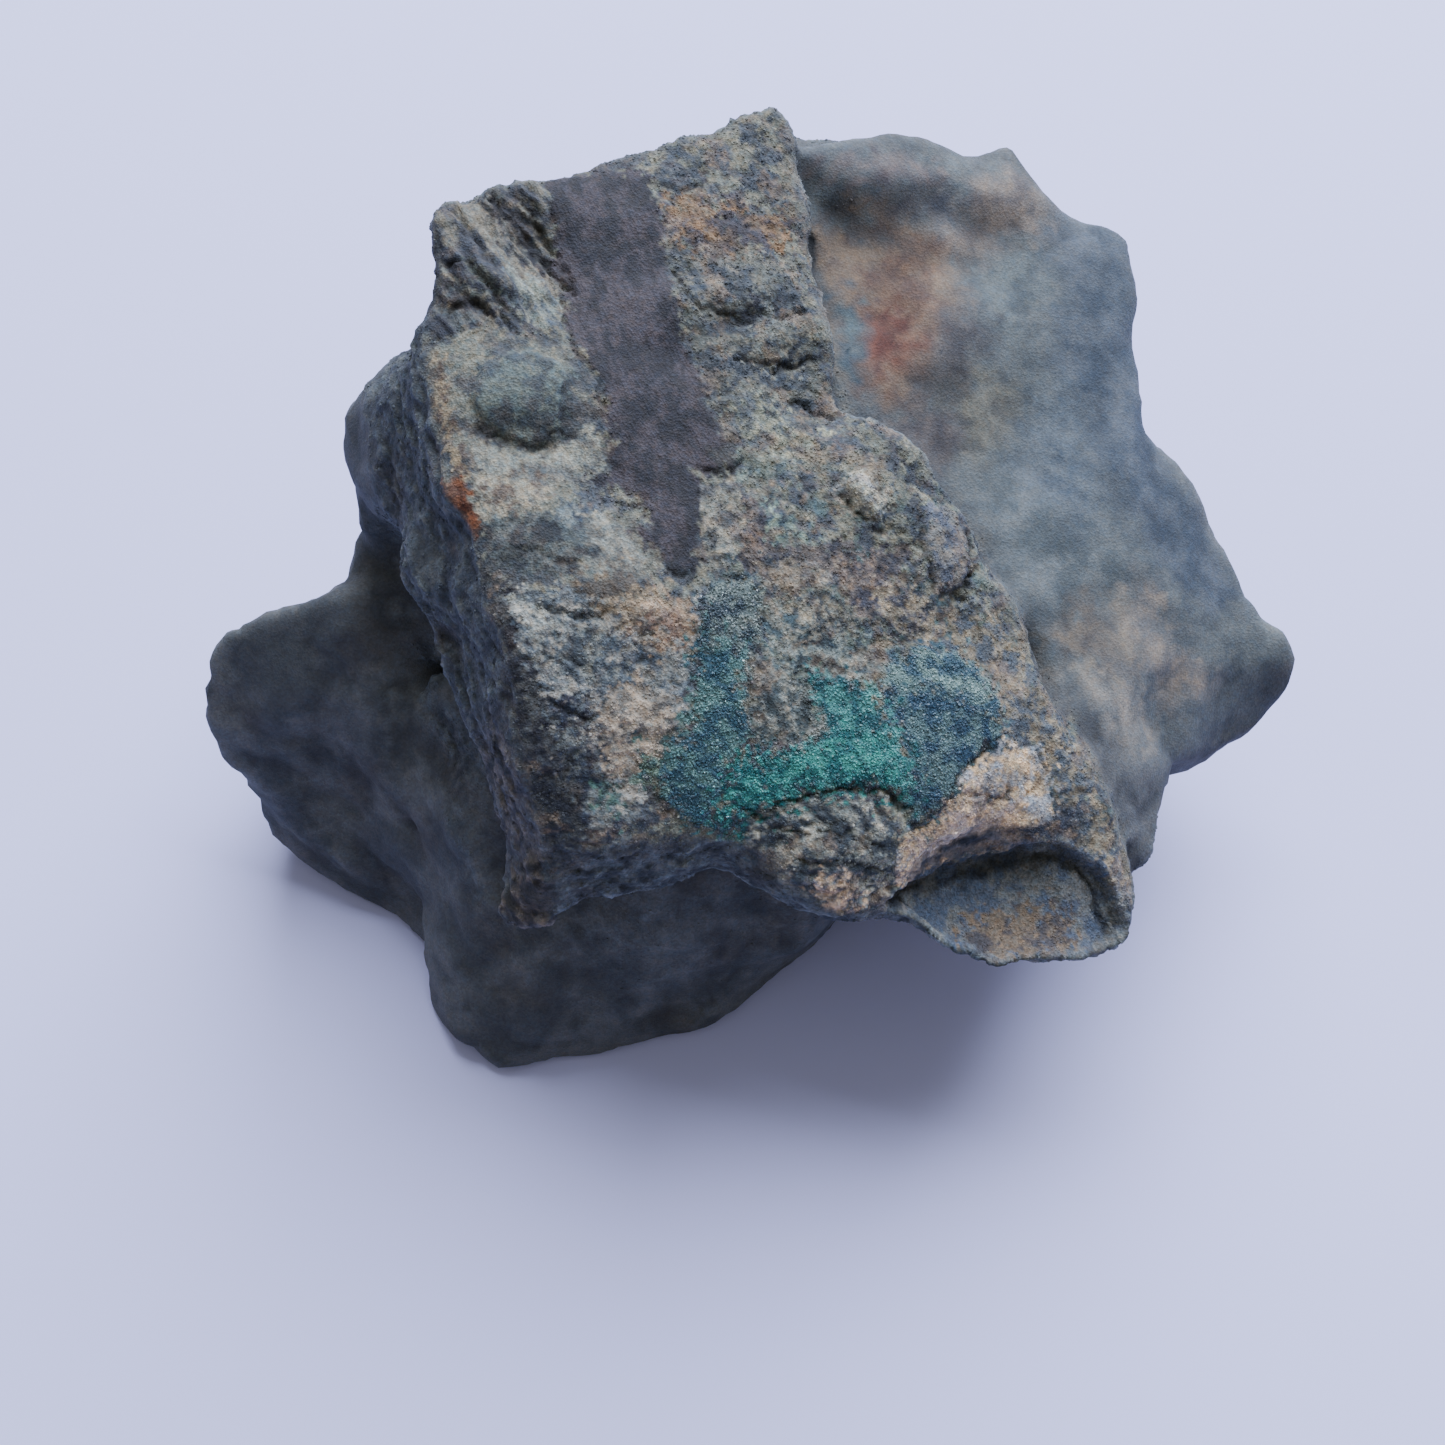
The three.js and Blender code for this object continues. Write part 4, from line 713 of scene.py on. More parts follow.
# what lies over the ground in places, dark tone and light tone
BROWN_CLOUD = (58, 56, 58), (88, 84, 80)
GREY_VEIN = (62, 60, 68), (88, 84, 90)
VERDIGRIS = (66, 96, 98), (112, 140, 134)
# painted shade under the overhanging lip of the hollow
PAINTED_LIP_SHADE = (48, 56, 72), (78, 86, 102)
IRON = (104, 90, 82), (160, 140, 118)
SOOT = (48, 50, 58), (74, 76, 82)
print("flank stains:", len(FLANK_STAINS))

# %% [markdown]
# The relief uses some of the same outlines. The plum band is smooth and finely
# lined, the olive mound stands up, and the green crust lies on the stone as a
# thin raised skin.

# %% Relief of the crest
CREST_FORMS = ("plum band", "olive mound", "green field", "indigo field", "green top",
               "teal column", "laminated", "cream", "sand", "grey tongue", "pale knob",
               "boss", "hollow", "pink sand")
CRUSTS = ("green field", "indigo field", "green top", "teal column")
# how much each form calms the common relief of the crest, from 0 to 1
CALMING = {"plum band": 0.75, "crust": 0.35, "cream": 0.45, "olive mound": 0.4,
           "laminated": 0.5, "pink sand": 0.5, "hollow": 0.5}

def ledges(height, step):
    """A saw-tooth from -1 to 1: slow out, quick back, as layers stand out of a wall."""
    part = height / step % 1
    return np.where(part < 0.8, part / 0.8, (1 - part) / 0.2) * 2 - 1

def flow(points, direction, stretch):
    """Squeeze places along one direction of the plan, so that a pattern there runs in streaks."""
    along = np.array([*direction, 0.0]) / np.hypot(*direction)
    return points - np.outer(points @ along, along) * (1 - 1 / stretch)

def crest_relief(points):
    """Relief of the flat top: grains, broken plates, thin layers and crusts."""
    bend = 0.3 * sway(points, 1.2, (31, 41, 51))
    plan = points[:, :2] + 0.5 * bend[:, :2]
    zone = {name: depth_inside(plan, CREST_STAINS[name][0]) for name in CREST_FORMS}
    share = {name: rise(depth, -0.15, 0.25) for name, depth in zone.items()}
    share["crust"] = np.maximum.reduce([share[name] for name in CRUSTS])
    calmer = math.prod(1 - calm * share[name] for name, calm in CALMING.items())

    # the common relief, then what belongs to one form
    fine = 0.045 * grain(points, 0.36, 1, 2, 0.8)
    lumps = 0.045 * grain(points, 1.5, 3, 3, 0.5)
    _, gap, number = chips(points + bend, 0.6, 5)
    plates = (number - 0.5) * 0.07 * rise(gap, 0.0, 0.15)
    leaves = flow(points + 0.25 * bend, (0.60, -0.80), 9)
    layers = (0.08 * (1 - 2.4 * np.abs(ripple(leaves, 0.55, 62))) + 0.05 * ripple(leaves, 0.26, 64)
              + 0.07 * ledges(plan @ (0.80, 0.60) + 0.3 * ripple(leaves, 1.2, 65), 0.75))
    blocks = 0.055 * grain(flow(points + 1.5 * bend, (1.0, 0.1), 2.2), 1.1, 8, 3, 0.5)
    _, split, slab = chips(flow(points + bend, (0.8, -0.6), 1.8), 0.62, 9)
    shards = (slab - 0.5) * 0.18 * rise(split, 0.0, 0.2)
    strings = 0.025 * ripple(flow(points, (0.25, -0.97), 7), 0.26, 63)

    top = (calmer * (fine + lumps + plates) + share["laminated"] * layers
           + share["plum band"] * strings)
    top += share["sand"] * blocks + share["grey tongue"] * (0.08 + shards)
    top += (0.26 * rise(zone["olive mound"], -0.05, 0.35) + 0.09 * share["crust"]
            + 0.05 * share["plum band"])
    top += 0.26 * rise(zone["pale knob"], -0.1, 0.35) + 0.09 * rise(zone["boss"], -0.1, 0.4)
    top -= 0.62 * rise(zone["hollow"], 0.05, 0.32) * rise(plan[:, 1], -17.2, -14.2)
    return top

print("forms on the crest:", len(CREST_FORMS), "that calm it:", len(CALMING))

# %% Relief of the walls, the body and the flank
def bedded(points, stretch):
    """Squeeze places along the beds, so that a pattern read there runs in bands along them."""
    across = np.outer(points @ BED_TILT, BED_TILT)
    return across + (points - across) / stretch

def wall_relief(points):
    """Relief of a wall: thin branching ridges along the beds, with scales and grains."""
    bend = 0.4 * sway(points, 1.6, (31, 41, 51))
    bands = bedded(points + bend, 3.2)
    ridges = (0.13 * np.exp(-11 * np.abs(ripple(bands, 1.2, 71)))
              + 0.06 * np.exp(-8 * np.abs(ripple(bands + 9, 0.6, 72))))
    steps = 0.07 * ledges(points @ BED_TILT + 0.5 * grain(points, 2.4, 76), 1.7)
    _, gap, number = chips(bedded(points + bend, 1.8), 0.6, 6)
    scales = (number - 0.5) * 0.06 * rise(gap, 0.0, 0.3)
    return ridges + steps + scales + 0.04 * grain(points, 0.36, 73, 2, 0.8)

def body_relief(points):
    """Relief of the rounded lower parts and the back: broad dull facets with a fine tooth."""
    _, gap, number = chips(points + 0.8 * grain(points, 2.5, 77)[:, None], 2.6, 7)
    facets = 0.10 * (number - 0.5) * rise(gap, 0.0, 0.5)
    ridges = 0.07 * np.exp(-9 * np.abs(ripple(bedded(points, 3.2), 1.3, 71)))
    tooth = 0.045 * grain(points, 0.55, 78, 2)
    return 0.09 * grain(points, 3.0, 74, 2, 0.5) + facets + ridges + tooth

def flank_relief(points):
    """Relief of the back slope, softer than the crest."""
    return 0.07 * grain(points, 2.4, 75, 4, 0.5) + (chips(points, 0.8, 8)[2] - 0.5) * 0.02

for kind in (wall_relief, body_relief, flank_relief):
    print(kind.__name__, "spans in mm:", round(float(np.ptp(kind(sample))), 2))

# %% The whole relief
def carve(total, points, share):
    """Cut the named cracks into the relief of the crest."""
    plan = points[:, :2] + 0.2 * sway(points, 0.8, (82, 83))
    for line, depth, half in CRACKS.values():
        near = near_shape(plan, share, 0.05, line, 1)
        width = half * (0.7 + 0.25 * ripple(points[near], 1.2, 84))
        notch = np.exp(-(edge_distance(plan[near], line) / width) ** 2)
        uneven = 0.8 + 0.35 * ripple(points[near], 1.0, 81)
        total[near] -= share[near] * 0.6 * depth * notch * uneven
    return total

def relief_of(points, parts):
    """The height in mm that each point of the net is moved outwards."""
    rest = np.clip(1 - parts["crest"] - parts["flank"], 0, 1)
    broken = parts["wall"] * (0.15 + 0.85 * parts["slab wall"])
    shares = ((parts["crest"], crest_relief), (parts["flank"], flank_relief),
              (rest * broken, wall_relief), (rest * (1 - broken), body_relief))
    total = np.zeros(len(points))
    for share, relief in shares:
        some = np.flatnonzero(share > 0.01)
        total[some] += share[some] * relief(points[some])
    some = np.flatnonzero(parts["crest"] > 0.01)
    total[some] = carve(total[some], points[some], parts["crest"][some])
    return total * rise(points[:, 2], 0.05, 0.8)

BOX_SLACK = 0.25    # mm that the relief may stand out of the box of the solid
relief = relief_of(points, parts)
shaped = points + relief[:, None] * parts["calm"]
low = np.array(cad_box[0]) / MM - BOX_SLACK
high = np.array(cad_box[1]) / MM + BOX_SLACK
low[2] = 0
shaped = np.clip(shaped, low, high)
print("relief in mm:", round(float(relief.min()), 2), "to", round(float(relief.max()), 2))

# %% [markdown]
# ## Thinning the net
# The net has far more points than a part should hold. Blender's Decimate takes
# away the edges that matter least. A vertex group makes it keep more of the
# crest, where the finest forms are.

# %% Thinning
ROCK_TRIANGLES = 194000
PROTECT_STEPS = 10          # how many levels of protection there are
KEEP = {"crest": 0.72, "slab wall": 0.5, "flank": 0.12}     # on top of 0.2 everywhere

def thinned(points, faces, keep_more, triangles):
    """The net with fewer triangles. keep_more, 0 to 1, protects its places."""
    mesh = bpy.data.meshes.new("net")
    mesh.from_pydata(points.tolist(), [], faces.tolist())
    draft = add_object("net", mesh)
    group = draft.vertex_groups.new(name="give way")
    level = np.round((1 - keep_more) * PROTECT_STEPS).astype(int)
    for step in range(PROTECT_STEPS + 1):
        members = np.flatnonzero(level == step)
        if len(members):
            group.add(members.tolist(), step / PROTECT_STEPS, "REPLACE")
    thinner = draft.modifiers.new("thinner", "DECIMATE")
    thinner.ratio = triangles / (2 * len(faces))
    thinner.vertex_group = group.name
    thinner.vertex_group_factor = 1.0
    thinner.use_collapse_triangulate = True
    light = finished_mesh(draft)
    bpy.data.objects.remove(draft)
    light.calc_loop_triangles()
    thin_points = read(light.vertices, "co", 3, np.float32).astype(float)
    corners = read(light.loop_triangles, "vertices", 3, np.int32)
    bpy.data.meshes.remove(light)
    return thin_points, corners

keep = 0.2 + sum(more * parts[name] for name, more in KEEP.items())
rock_points, rock_faces = thinned(shaped, faces, np.clip(keep, 0, 1), ROCK_TRIANGLES)
rock_points[:, 2] = np.maximum(rock_points[:, 2], 0)
print("rock triangles:", len(rock_faces), "points:", len(rock_points))

# %% [markdown]
# Thinning makes new points, so each one asks the nearest point of the old net
# which part of the stone it belongs to.

# %% Parts of the thinned rock
def nearest_of(old, new):
    """For each new point, the number of the nearest old point."""
    tree = KDTree(len(old))
    for number, place in enumerate(old.tolist()):
        tree.insert(place, number)
    tree.balance()
    return np.array([tree.find(place)[1] for place in new.tolist()])

partner = nearest_of(shaped, rock_points)
home = points[partner]              # where each point was before the relief moved it
rock_parts = {name: parts[name][partner] for name in parts}
rock_pairs = neighbour_pairs(rock_faces)
rock_normal = outward(rock_points, rock_faces)
crest_share = (rock_parts["crest"][rock_faces].mean(1) > 0.5).mean()
print("share of triangles on the crest:", round(float(crest_share), 2))

# %% Laying stains
QUIET_STAINS = ("plum band", "green field", "green top", "indigo field", "teal column", "hollow")
PALE_STAINS = ("cream", "laminated", "olive mound", "sand")

def stain_plan(points):
    """Places on the plan, pushed to and fro a little, so that no stain has a drawn edge."""
    return points[:, :2] + 0.18 * sway(points, 0.8, (101, 111), 4, 0.65)

def in_stains(plan, names, soft):
    """How much each plan point lies in any of the named crest stains. soft is in mm."""
    depths = [depth_inside(plan, CREST_STAINS[name][0]) for name in names]
    return np.maximum.reduce([rise(depth, -soft, soft) for depth in depths])

def mottle(points, size, seed, push=1.1):
    """A patchy pattern from 0 to 1."""
    return np.clip(0.5 + push * grain(points, size, seed, 4, 0.7), 0, 1)

def lay(colour, share, dark, light, points, patch, seed, push=1.1):
    """Lay one stain over the colours: share is how much of it covers each point."""
    some = np.flatnonzero(share > 0.004)
    pattern = mottle(points[some], patch, seed, push)[:, None]
    tone = paint(dark) * (1 - pattern) + paint(light) * pattern
    colour[some] += share[some, None] * (tone - colour[some])

def lay_stains(colour, points, plan, part, stains, ragged, speckled, seed):
    """Lay the stains of one part of the surface. ragged is how far an edge wanders, in mm."""
    wander = ragged * grain(points, 0.7, seed, 4, 0.75)
    specks = ripple(points, 0.24, seed + 4) + 0.7 * ripple(points, 0.12, seed + 5)
    for order, (name, (outline, dark, light, patch, soft)) in enumerate(stains.items()):
        near = near_shape(plan, part, 0.01, outline, soft + 1)
        inside = depth_inside(plan[near], outline) + wander[near]
        push = 1.1
        if speckled:
            inside = inside + 1.6 * soft * specks[near]
            patch, push, soft = 1.25 * patch, 1.7, 0.06
        share = np.zeros(len(points))
        share[near] = part[near] * rise(inside, -soft, soft)
        where = flow(points, *STREAKS[name]) if name in STREAKS else points
        lay(colour, share, dark, light, where, patch, seed + order, push)

print("mean of a patchy pattern:", round(float(mottle(sample, 1.0, 1).mean()), 2))

# %% Colour of each point
def colour_of(points, parts):
    """The colour of each point, as the share of light given back."""
    plan = stain_plan(points)
    far_plan = points[:, :2] + 0.4 * sway(points, 1.8, (121, 131), 4, 0.6)
    crest, slab_wall = parts["crest"], parts["slab wall"]
    colour = np.zeros((len(points), 3))

    # the body, the walls and the flank
    lay(colour, np.ones(len(points)), *BODY_GROUND, points, 2.6, 141)
    lay(colour, slab_wall, *WALL_GROUND, points, 0.8, 145)
    lay_stains(colour, points, plan, slab_wall, WALL_STAINS, 0.3, False, 147)
    cloud = rise(grain(points, 3.5, 142, 3), 0.2, 0.8)
    lay(colour, 0.35 * cloud, *BROWN_CLOUD, points, 0.6, 143)
    lay(colour, parts["flank"], *FLANK_GROUND, points, 1.2, 151)
    lay_stains(colour, points, far_plan, parts["flank"], FLANK_STAINS, 0.4, False, 160)

    # the ground of the crest and its stains
    lay(colour, crest, *CREST_GROUND, points, 1.0, 181, 1.8)
    vein = 1 - rise(np.abs(grain(points, 1.5, 184, 4, 0.6)), 0.02, 0.16)
    lay(colour, 0.7 * crest * vein, *GREY_VEIN, points, 0.5, 185)
    verdigris = (rise(grain(points, 1.1, 186, 4, 0.7), 0.2, 0.7) * rise(plan[:, 0], -3, 0)
                 * rise(plan[:, 1], -14, -10) * (1 - rise(plan[:, 1], -3, 3)))
    lay(colour, 0.5 * crest * verdigris, *VERDIGRIS, points, 0.5, 187)
    lay_stains(colour, points, plan, crest, CREST_STAINS, 0.2, True, 190)

    # painted shade: a dark band round the top of the hollow, under the overhanging lip
    deep = depth_inside(plan, CREST_STAINS["hollow"][0])
    lip = (rise(deep, -1.6, -1.2) * (1 - rise(deep, -0.15, 0.1))
           * (1 - rise(points[:, 2], 12.5, 12.8))
           * rise(plan[:, 0], 5.5, 6.3) * (1 - rise(plan[:, 0], 12, 13)))
    lay(colour, lip * np.maximum(crest, slab_wall), *PAINTED_LIP_SHADE, points, 0.5, 192)

    # iron, grains of different tones with dark seams, soot, and painted shade in the cracks
    quiet = in_stains(plan, QUIET_STAINS, 0.2)
    pale = in_stains(plan, PALE_STAINS, 0.2)
    iron = rise(grain(points, 1.5, 182, 5, 0.7), 0.3, 0.55) * (1 - 0.95 * quiet) * (1 - 0.7 * pale)
    lay(colour, 0.45 * crest * iron, *IRON, points, 0.4, 183)
    _, gap, number = chips(points + 0.35 * sway(points, 0.7, (31, 41, 51)), 0.95, 195)
    seam = gap < 0.04
    clast = crest * (1 - quiet) * (1 - 0.6 * pale) * (1 - 0.9 * seam)
    lighter = clast * (number - 0.5) - 0.5 * crest * (1 - quiet) * seam
    colour *= 1 + 0.66 * lighter[:, None] * (1.0, 0.92, 0.85)
    soot = rise(grain(points, 0.6, 188, 4, 0.8), 0.5, 0.9) * (1 - quiet)
    lay(colour, 0.3 * crest * soot, *SOOT, points, 0.4, 189)
    # painted shade inside the named cracks
    for line, _, half in CRACKS.values():
        near = near_shape(plan, crest, 0.05, line, 1)
        dark = np.exp(-(edge_distance(plan[near], line) / half) ** 2)
        colour[near] *= (1 - 0.55 * crest[near] * dark)[:, None]
    return colour

def hollowness(points, normal, pairs):
    """More than 0 in pits and cracks, less than 0 on sharp edges, in mm."""
    return ((spread(points, pairs, 3, 1.0) - points) * normal).sum(1)

# painted shade: pits are made darker in the stored colour
PIT_SHADE = 0.28    # how much darker a pit is
stain = colour_of(home, rock_parts)
pit = hollowness(rock_points, rock_normal, rock_pairs)
# painted highlight: sharp edges are made lighter in the stored colour, most on the slab walls
rim = 0.2 + 0.6 * rock_parts["slab wall"]       # how much lighter a sharp edge is
stain *= (1 - PIT_SHADE * rise(pit, 0.0, 0.08) + rim * rise(-pit, 0.0, 0.07))[:, None]
print("mean colour:", stain.mean(0).round(3), "pits:", np.percentile(pit, [5, 50, 95]).round(3))

# %% [markdown]
# ## The rock material
# The stain attribute gives each point its colour, with the painted shade of pits and cracks and the
# painted highlights of sharp edges in it. The shader adds what is smaller than the net: fine
# mineral grains with their own tone, and a rough bump. The patterns read Object coordinates, so
# they stay on the stone.

# %% Rock material
COOL, WARM = (0.80, 0.98, 1.14, 1), (1.20, 1.02, 0.84, 1)     # tints of the grains
BAND_TURN = 0.47                # radians, the way the fibres of the plum band run
BAND_STRETCH = (1, 8, 1)

def stone_material(name, tone_depth, bump_height, roughness):
    """The stain of each point, with finer grains of their own tone and a rough bump."""
    material, shader, add = new_shader(name)
    place = add("ShaderNodeTexCoord").outputs["Object"]
    stain = add("ShaderNodeAttribute", attribute_name="stain").outputs["Color"]
    fibre = add("ShaderNodeAttribute", attribute_name="fibre").outputs["Fac"]
    tooth = add("ShaderNodeAttribute", attribute_name="tooth").outputs["Fac"]

    # patterns: round grains or streaks, specks, broad patches and patches of hue
    fine = add("ShaderNodeTexNoise", Vector=place, Scale=9000.0, Detail=3.0, Roughness=0.7)
    turned = add("ShaderNodeMapping", vector_type="TEXTURE", Vector=place,
                 Rotation=(0, 0, BAND_TURN), Scale=BAND_STRETCH)
    streaks = add("ShaderNodeTexNoise", Vector=turned, Scale=10000.0, Detail=3.0, Roughness=0.7)
    grains = add("ShaderNodeMix", data_type="FLOAT", _0=fibre, _2=fine, _3=streaks)
    cells = add("ShaderNodeTexVoronoi", Vector=place, Scale=12000.0)
    speck = add("ShaderNodeSeparateColor", Color=cells.outputs["Color"])
    coarse = add("ShaderNodeTexNoise", Vector=place, Scale=1500.0, Detail=5.0, Roughness=0.65)
    hue = add("ShaderNodeTexNoise", Vector=place, Scale=4000.0, Detail=4.0, Roughness=0.7)

    # colour: the stain, tinted and made lighter or darker where the stone is grainy
    mix = add("ShaderNodeMath", operation="ADD", _0=grains, _1=speck)
    level = add("ShaderNodeMapRange", Value=mix, From_Min=0.3, From_Max=1.7,
                To_Min=1 - tone_depth, To_Max=1 + tone_depth)
    hue_level = add("ShaderNodeMapRange", Value=hue, From_Min=0.3, From_Max=0.7)
    tint = add("ShaderNodeMix", data_type="RGBA", _0=hue_level, _6=COOL, _7=WARM)
    tinted = add("ShaderNodeVectorMath", operation="MULTIPLY", _0=stain, _1=tint.outputs[2])
    toned = add("ShaderNodeVectorMath", operation="SCALE", _0=tinted, Scale=level)
    grained = add("ShaderNodeMix", data_type="RGBA", _0=tooth, _6=stain, _7=toned.outputs[0])

    # roughness and bump
    rough = add("ShaderNodeMapRange", Value=coarse, To_Min=roughness - 0.12,
                To_Max=roughness + 0.08)
    heights = add("ShaderNodeMath", operation="MULTIPLY_ADD", _0=cells, _1=0.6, _2=grains)
    crisp = add("ShaderNodeMath", operation="MULTIPLY", _0=heights, _1=tooth)
    bump = add("ShaderNodeBump", Strength=0.8, Distance=bump_height, Height=crisp)
    feed(shader, Base_Color=grained.outputs[2], Roughness=rough, Normal=bump,
         Specular_IOR_Level=0.35)
    return material

rock_material = stone_material("weathered stone", 0.45, 0.00005, 0.85)
print("material:", rock_material.name, "nodes:", len(rock_material.node_tree.nodes))

# %% The rock piece
def make_piece(name, points, faces, material, **numbers):
    """A mesh object in metres, with a colour or a number stored on each point."""
    mesh = bpy.data.meshes.new(name)
    mesh.from_pydata((points * MM).tolist(), [], faces.tolist())
    mesh.polygons.foreach_set("use_smooth", [True] * len(faces))
    mesh.materials.append(material)
    for key, values in numbers.items():
        if values.ndim == 2:
            opaque = np.hstack([values, np.ones((len(values), 1))])
            store = mesh.attributes.new(key, "FLOAT_COLOR", "POINT")
            store.data.foreach_set("color", opaque.astype(np.float32).ravel())
        else:
            store = mesh.attributes.new(key, "FLOAT", "POINT")
            store.data.foreach_set("value", values.astype(np.float32))
    return add_object(name, mesh)

rock_plan = stain_plan(home)

def cover(*names):
    """How much each point of the rock lies in any of the named crest stains."""
    return rock_parts["crest"] * in_stains(rock_plan, names, 0.3)

# how grainy the stone looks, from 0 to 1
tooth = np.clip(0.55 + rock_parts["crest"] + 0.3 * rock_parts["slab wall"], 0, 1)
rock = make_piece("rock", rock_points, rock_faces, rock_material, stain=stain,
                  fibre=cover("plum band", "laminated"), tooth=tooth)
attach(rock, "root")
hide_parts(STONE)
print("rock points:", len(rock.data.vertices))

# %% [markdown]
# ## Grains and crystals
# The green crust is made of crystals a tenth of a millimetre wide, and the
# stone beside it of crumbs of the same size. Geometry Nodes scatter small
# closed shapes over chosen places of the rock. Each grain keeps the stain of
# the place that it grew on and gets a tone of its own.

# %% Grain shapes
def small_shape(name, corners, faces):
    """A tiny closed template about 2 units wide, used only by the scattering."""
    mesh = bpy.data.meshes.new(name)
    mesh.from_pydata(corners, [], faces)
    return add_object(name, mesh)

TIP, LEAN, SIDE = 1.25, 0.25, 0.1       # where a crystal's two tips are
CRYSTAL = small_shape("crystal", [(1, 0, 0), (-1, 0, 0), (0, 1, 0), (0, -1, 0),
                                  (LEAN, SIDE, TIP), (-LEAN, -SIDE, -TIP)],
                      [(0, 2, 4), (2, 1, 4), (1, 3, 4), (3, 0, 4),
                       (2, 0, 5), (1, 2, 5), (3, 1, 5), (0, 3, 5)])
CRUMB = small_shape("crumb", [(-1, -0.8, -0.4), (0.9, -1, -0.3), (1, 0.9, -0.4),
                              (-0.9, 1, -0.4), (-0.5, -0.6, 0.5), (0.7, -0.5, 0.4),
                              (0.5, 0.6, 0.5), (-0.6, 0.5, 0.4)],
                    [(3, 2, 1, 0), (4, 5, 6, 7), (0, 1, 5, 4),
                     (1, 2, 6, 5), (2, 3, 7, 6), (3, 0, 4, 7)])
for shape in (CRYSTAL, CRUMB):
    print("faces of a", shape.name, len(shape.data.polygons))

# %% The scattering tree
FULL_TURN = 6.28        # radians
SOCKETS = {"Surface": "Geometry", "Grain": "Object", "Where": "String", "Density": "Float",
           "Smallest": "Float", "Largest": "Float", "Turn from": "Vector",
           "Turn to": "Vector", "Seed": "Int", "Finish": "Material"}

def scattering_tree():
    """Geometry Nodes that swap a surface for grains scattered over it."""
    tree = bpy.data.node_groups.new("grains on stone", "GeometryNodeTree")
    for name, kind in SOCKETS.items():
        tree.interface.new_socket(name, in_out="INPUT", socket_type="NodeSocket" + kind)
    tree.interface.new_socket("Grains", in_out="OUTPUT", socket_type="NodeSocketGeometry")
    add = node_maker(tree)
    given = add("NodeGroupInput").outputs

    # points on the surface, each with a tone of its own
    where = add("GeometryNodeInputNamedAttribute", data_type="FLOAT", Name=given["Where"])
    density = add("ShaderNodeMath", operation="MULTIPLY", _0=where, _1=given["Density"])
    points = add("GeometryNodeDistributePointsOnFaces", Mesh=given["Surface"], Density=density,
                 Seed=given["Seed"])
    tone = add("FunctionNodeRandomValue", data_type="FLOAT", Seed=given["Seed"])
    toned = add("GeometryNodeStoreNamedAttribute", data_type="FLOAT", domain="POINT",
                Geometry=points, Name="tone", Value=tone.outputs[1])

    # each grain is turned by chance, and small grains are more common
    turn = add("FunctionNodeRandomValue", data_type="FLOAT_VECTOR", _0=given["Turn from"],
               _1=given["Turn to"], Seed=11)
    stand = add("FunctionNodeRotateRotation", rotation_space="LOCAL",
                _0=points.outputs["Rotation"], _1=turn)
    draw = add("FunctionNodeRandomValue", data_type="FLOAT", Seed=12)
    skew = add("ShaderNodeMath", operation="POWER", _0=draw.outputs[1], _1=2.0)
    size = add("ShaderNodeMapRange", Value=skew, To_Min=given["Smallest"],
               To_Max=given["Largest"])
    shape = add("GeometryNodeObjectInfo", Object=given["Grain"])
    place = add("GeometryNodeInstanceOnPoints", Points=toned, Instance=shape.outputs["Geometry"],
                Rotation=stand, Scale=size)
    real = add("GeometryNodeRealizeInstances", Geometry=place)
    finish = add("GeometryNodeSetMaterial", Geometry=real, Material=given["Finish"])
    add("NodeGroupOutput", Grains=finish)
    return tree

grains_tree = scattering_tree()
print("nodes:", len(grains_tree.nodes))

# %% Scatter helper
def scatter(name, where, grain_object, density, smallest, largest, tilt, seed, material):
    """Grains as one plain mesh. Density is in a square mm, sizes are mm, tilt is radians."""
    bed = rock.copy()
    bed.data = rock.data.copy()
    bed.parent = None
    bpy.context.scene.collection.objects.link(bed)
    store = bed.data.attributes.new("where", "FLOAT", "POINT")
    store.data.foreach_set("value", where.astype(np.float32))
    live = bed.modifiers.new("grains", "NODES")
    live.node_group = grains_tree
    wanted = {"Grain": grain_object, "Where": "where", "Density": density / MM ** 2,
              "Smallest": smallest * MM / 2, "Largest": largest * MM / 2,
              "Turn from": (-tilt, -tilt, 0), "Turn to": (tilt, tilt, FULL_TURN),
              "Seed": seed, "Finish": material}
    for item in grains_tree.interface.items_tree:
        if item.in_out == "INPUT" and item.name in wanted:
            live[item.identifier] = wanted[item.name]
    mesh = finished_mesh(bed)
    mesh.name = name
    bpy.data.objects.remove(bed)
    piece = add_object(name, mesh)
    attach(piece, "root")
    mesh.calc_loop_triangles()
    print(name, "grains:", len(mesh.vertices) // len(grain_object.data.vertices),
          "triangles:", len(mesh.loop_triangles))
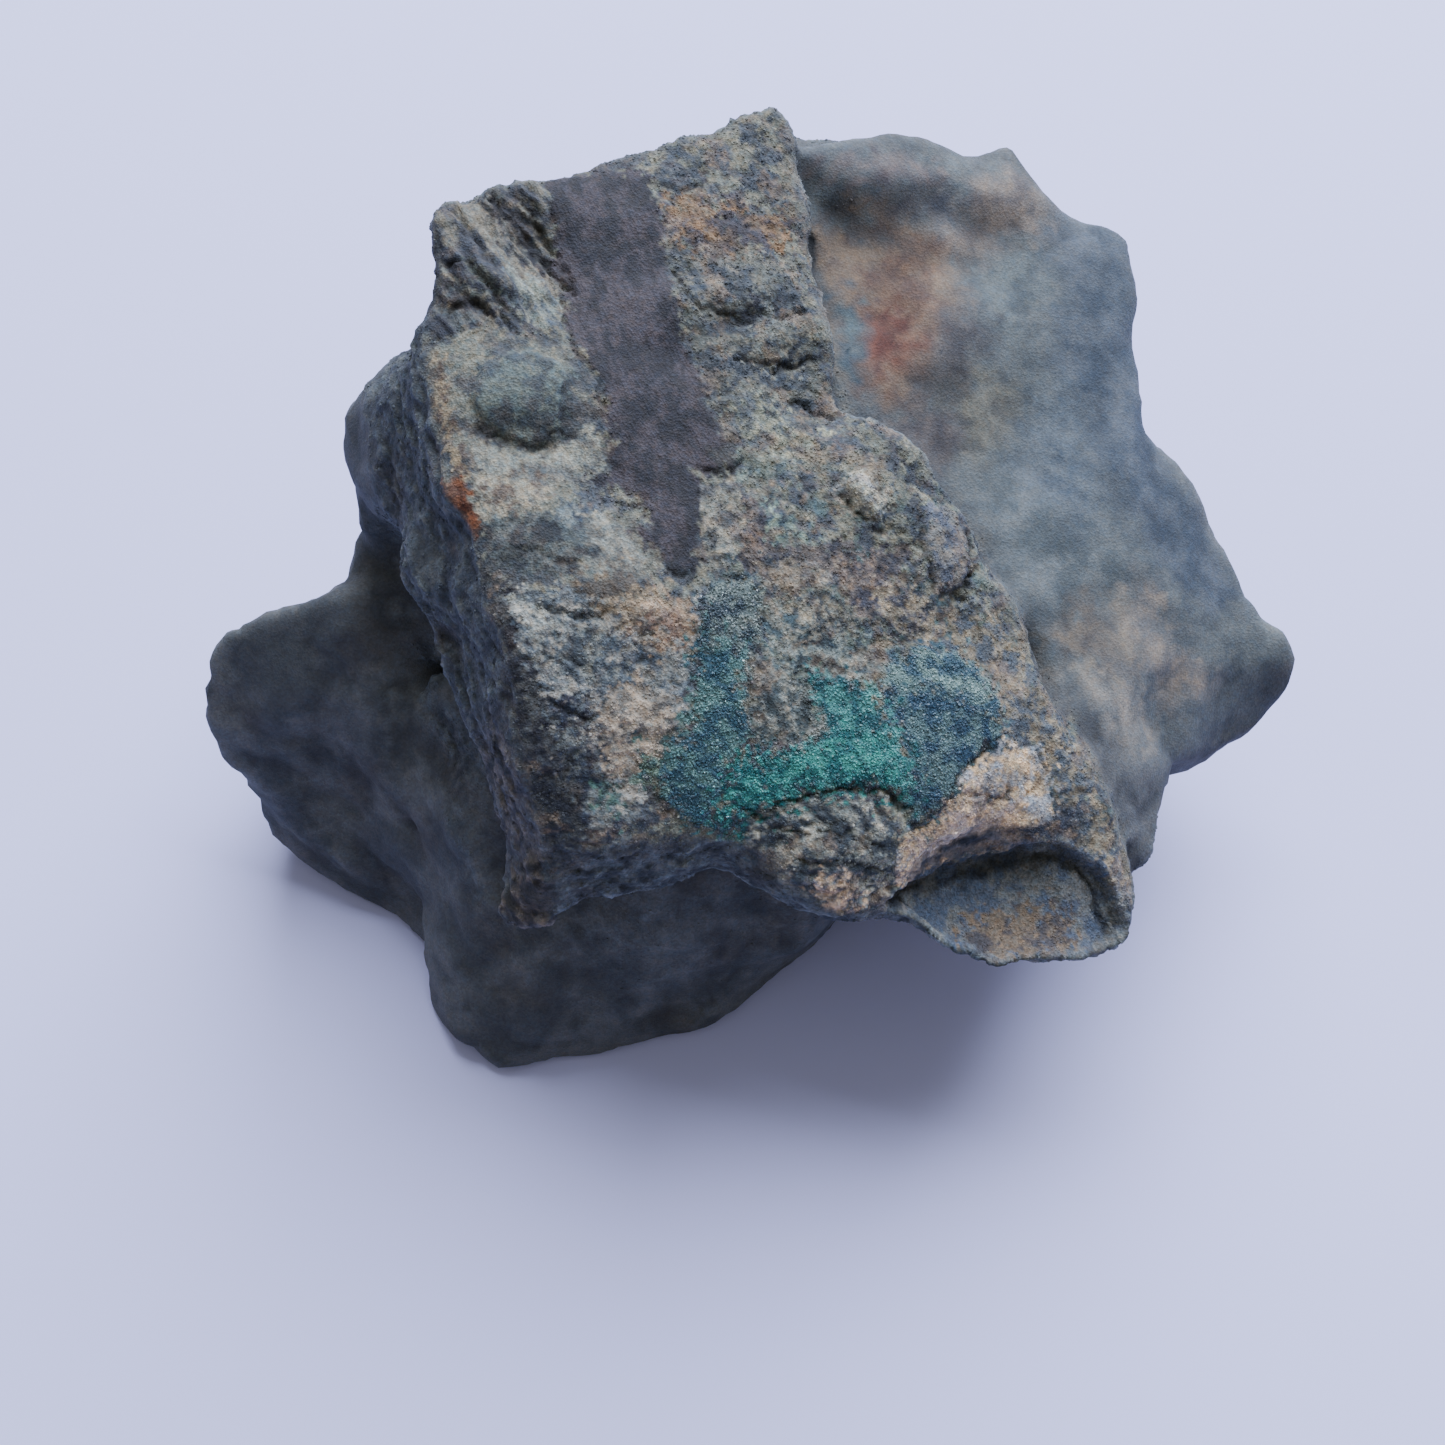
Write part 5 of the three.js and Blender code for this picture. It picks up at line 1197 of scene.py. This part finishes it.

# %% [markdown]
# The crystals are glossier than the stone, and their flat faces catch the light. The crumbs are as
# dull as the stone. The glints are crystals whose colour is painted up to three times as bright as
# the stone under them: painted highlights.

# %% Grain materials
def grain_material(name, darkest, lightest, roughness, gloss):
    """A small grain: the stain below it, in its own tone, with a faint bump."""
    material, shader, add = new_shader(name)
    place = add("ShaderNodeTexCoord").outputs["Object"]
    stain = add("ShaderNodeAttribute", attribute_name="stain").outputs["Color"]
    tone = add("ShaderNodeAttribute", attribute_name="tone").outputs["Fac"]
    level = add("ShaderNodeMapRange", Value=tone, To_Min=darkest, To_Max=lightest)
    fine = add("ShaderNodeTexNoise", Vector=place, Scale=16000.0, Detail=2.0)
    both = add("ShaderNodeMath", operation="MULTIPLY_ADD", _0=fine, _1=0.5, _2=level)
    colour = add("ShaderNodeVectorMath", operation="SCALE", _0=stain, Scale=both)
    rough = add("ShaderNodeMapRange", Value=fine, To_Min=roughness - 0.1, To_Max=roughness + 0.1)
    bump = add("ShaderNodeBump", Strength=0.4, Distance=0.00002, Height=fine)
    feed(shader, Base_Color=colour, Roughness=rough, Normal=bump, Specular_IOR_Level=gloss)
    return material

crystal_material = grain_material("copper crystals", 0.55, 1.25, 0.5, 0.4)
# painted highlights: glossy crystals with a colour 1.6 to 3 times the stain
painted_glint_material = grain_material("crystals with painted glints", 1.6, 3.0, 0.18, 0.8)
crumb_material = grain_material("stone crumbs", 0.6, 1.15, 0.8, 0.35)
print("grain materials:", crystal_material.name, crumb_material.name)

# %% Scatter the grains
TUMBLED, LYING = 3.1, 0.4       # radians that a grain may tilt
crest = rock_parts["crest"]
green = cover("green field", "teal column", "indigo field", "green top", "green spot")
smooth = cover("plum band", "cream", "olive mound", "laminated")
patches = mottle(rock_points, 1.0, 301)
scatter("green_crystals", green * (0.35 + 0.65 * patches), CRYSTAL,
        380, 0.05, 0.15, TUMBLED, 1, crystal_material)
scatter("crest_crumbs", crest * (1 - green) * (1 - smooth) * (0.1 + 0.9 * patches), CRUMB,
        60, 0.05, 0.14, LYING, 2, crumb_material)
scatter("wall_crumbs", rock_parts["slab wall"] * (0.1 + 0.9 * patches), CRUMB,
        22, 0.05, 0.15, LYING, 3, crumb_material)
scatter("glints", cover("teal column", "green field") * (0.1 + rise(-rock_plan[:, 0], -0.5, 1)),
        CRYSTAL, 6, 0.06, 0.14, TUMBLED, 4, painted_glint_material)
for template in (CRYSTAL, CRUMB):
    bpy.data.objects.remove(template)
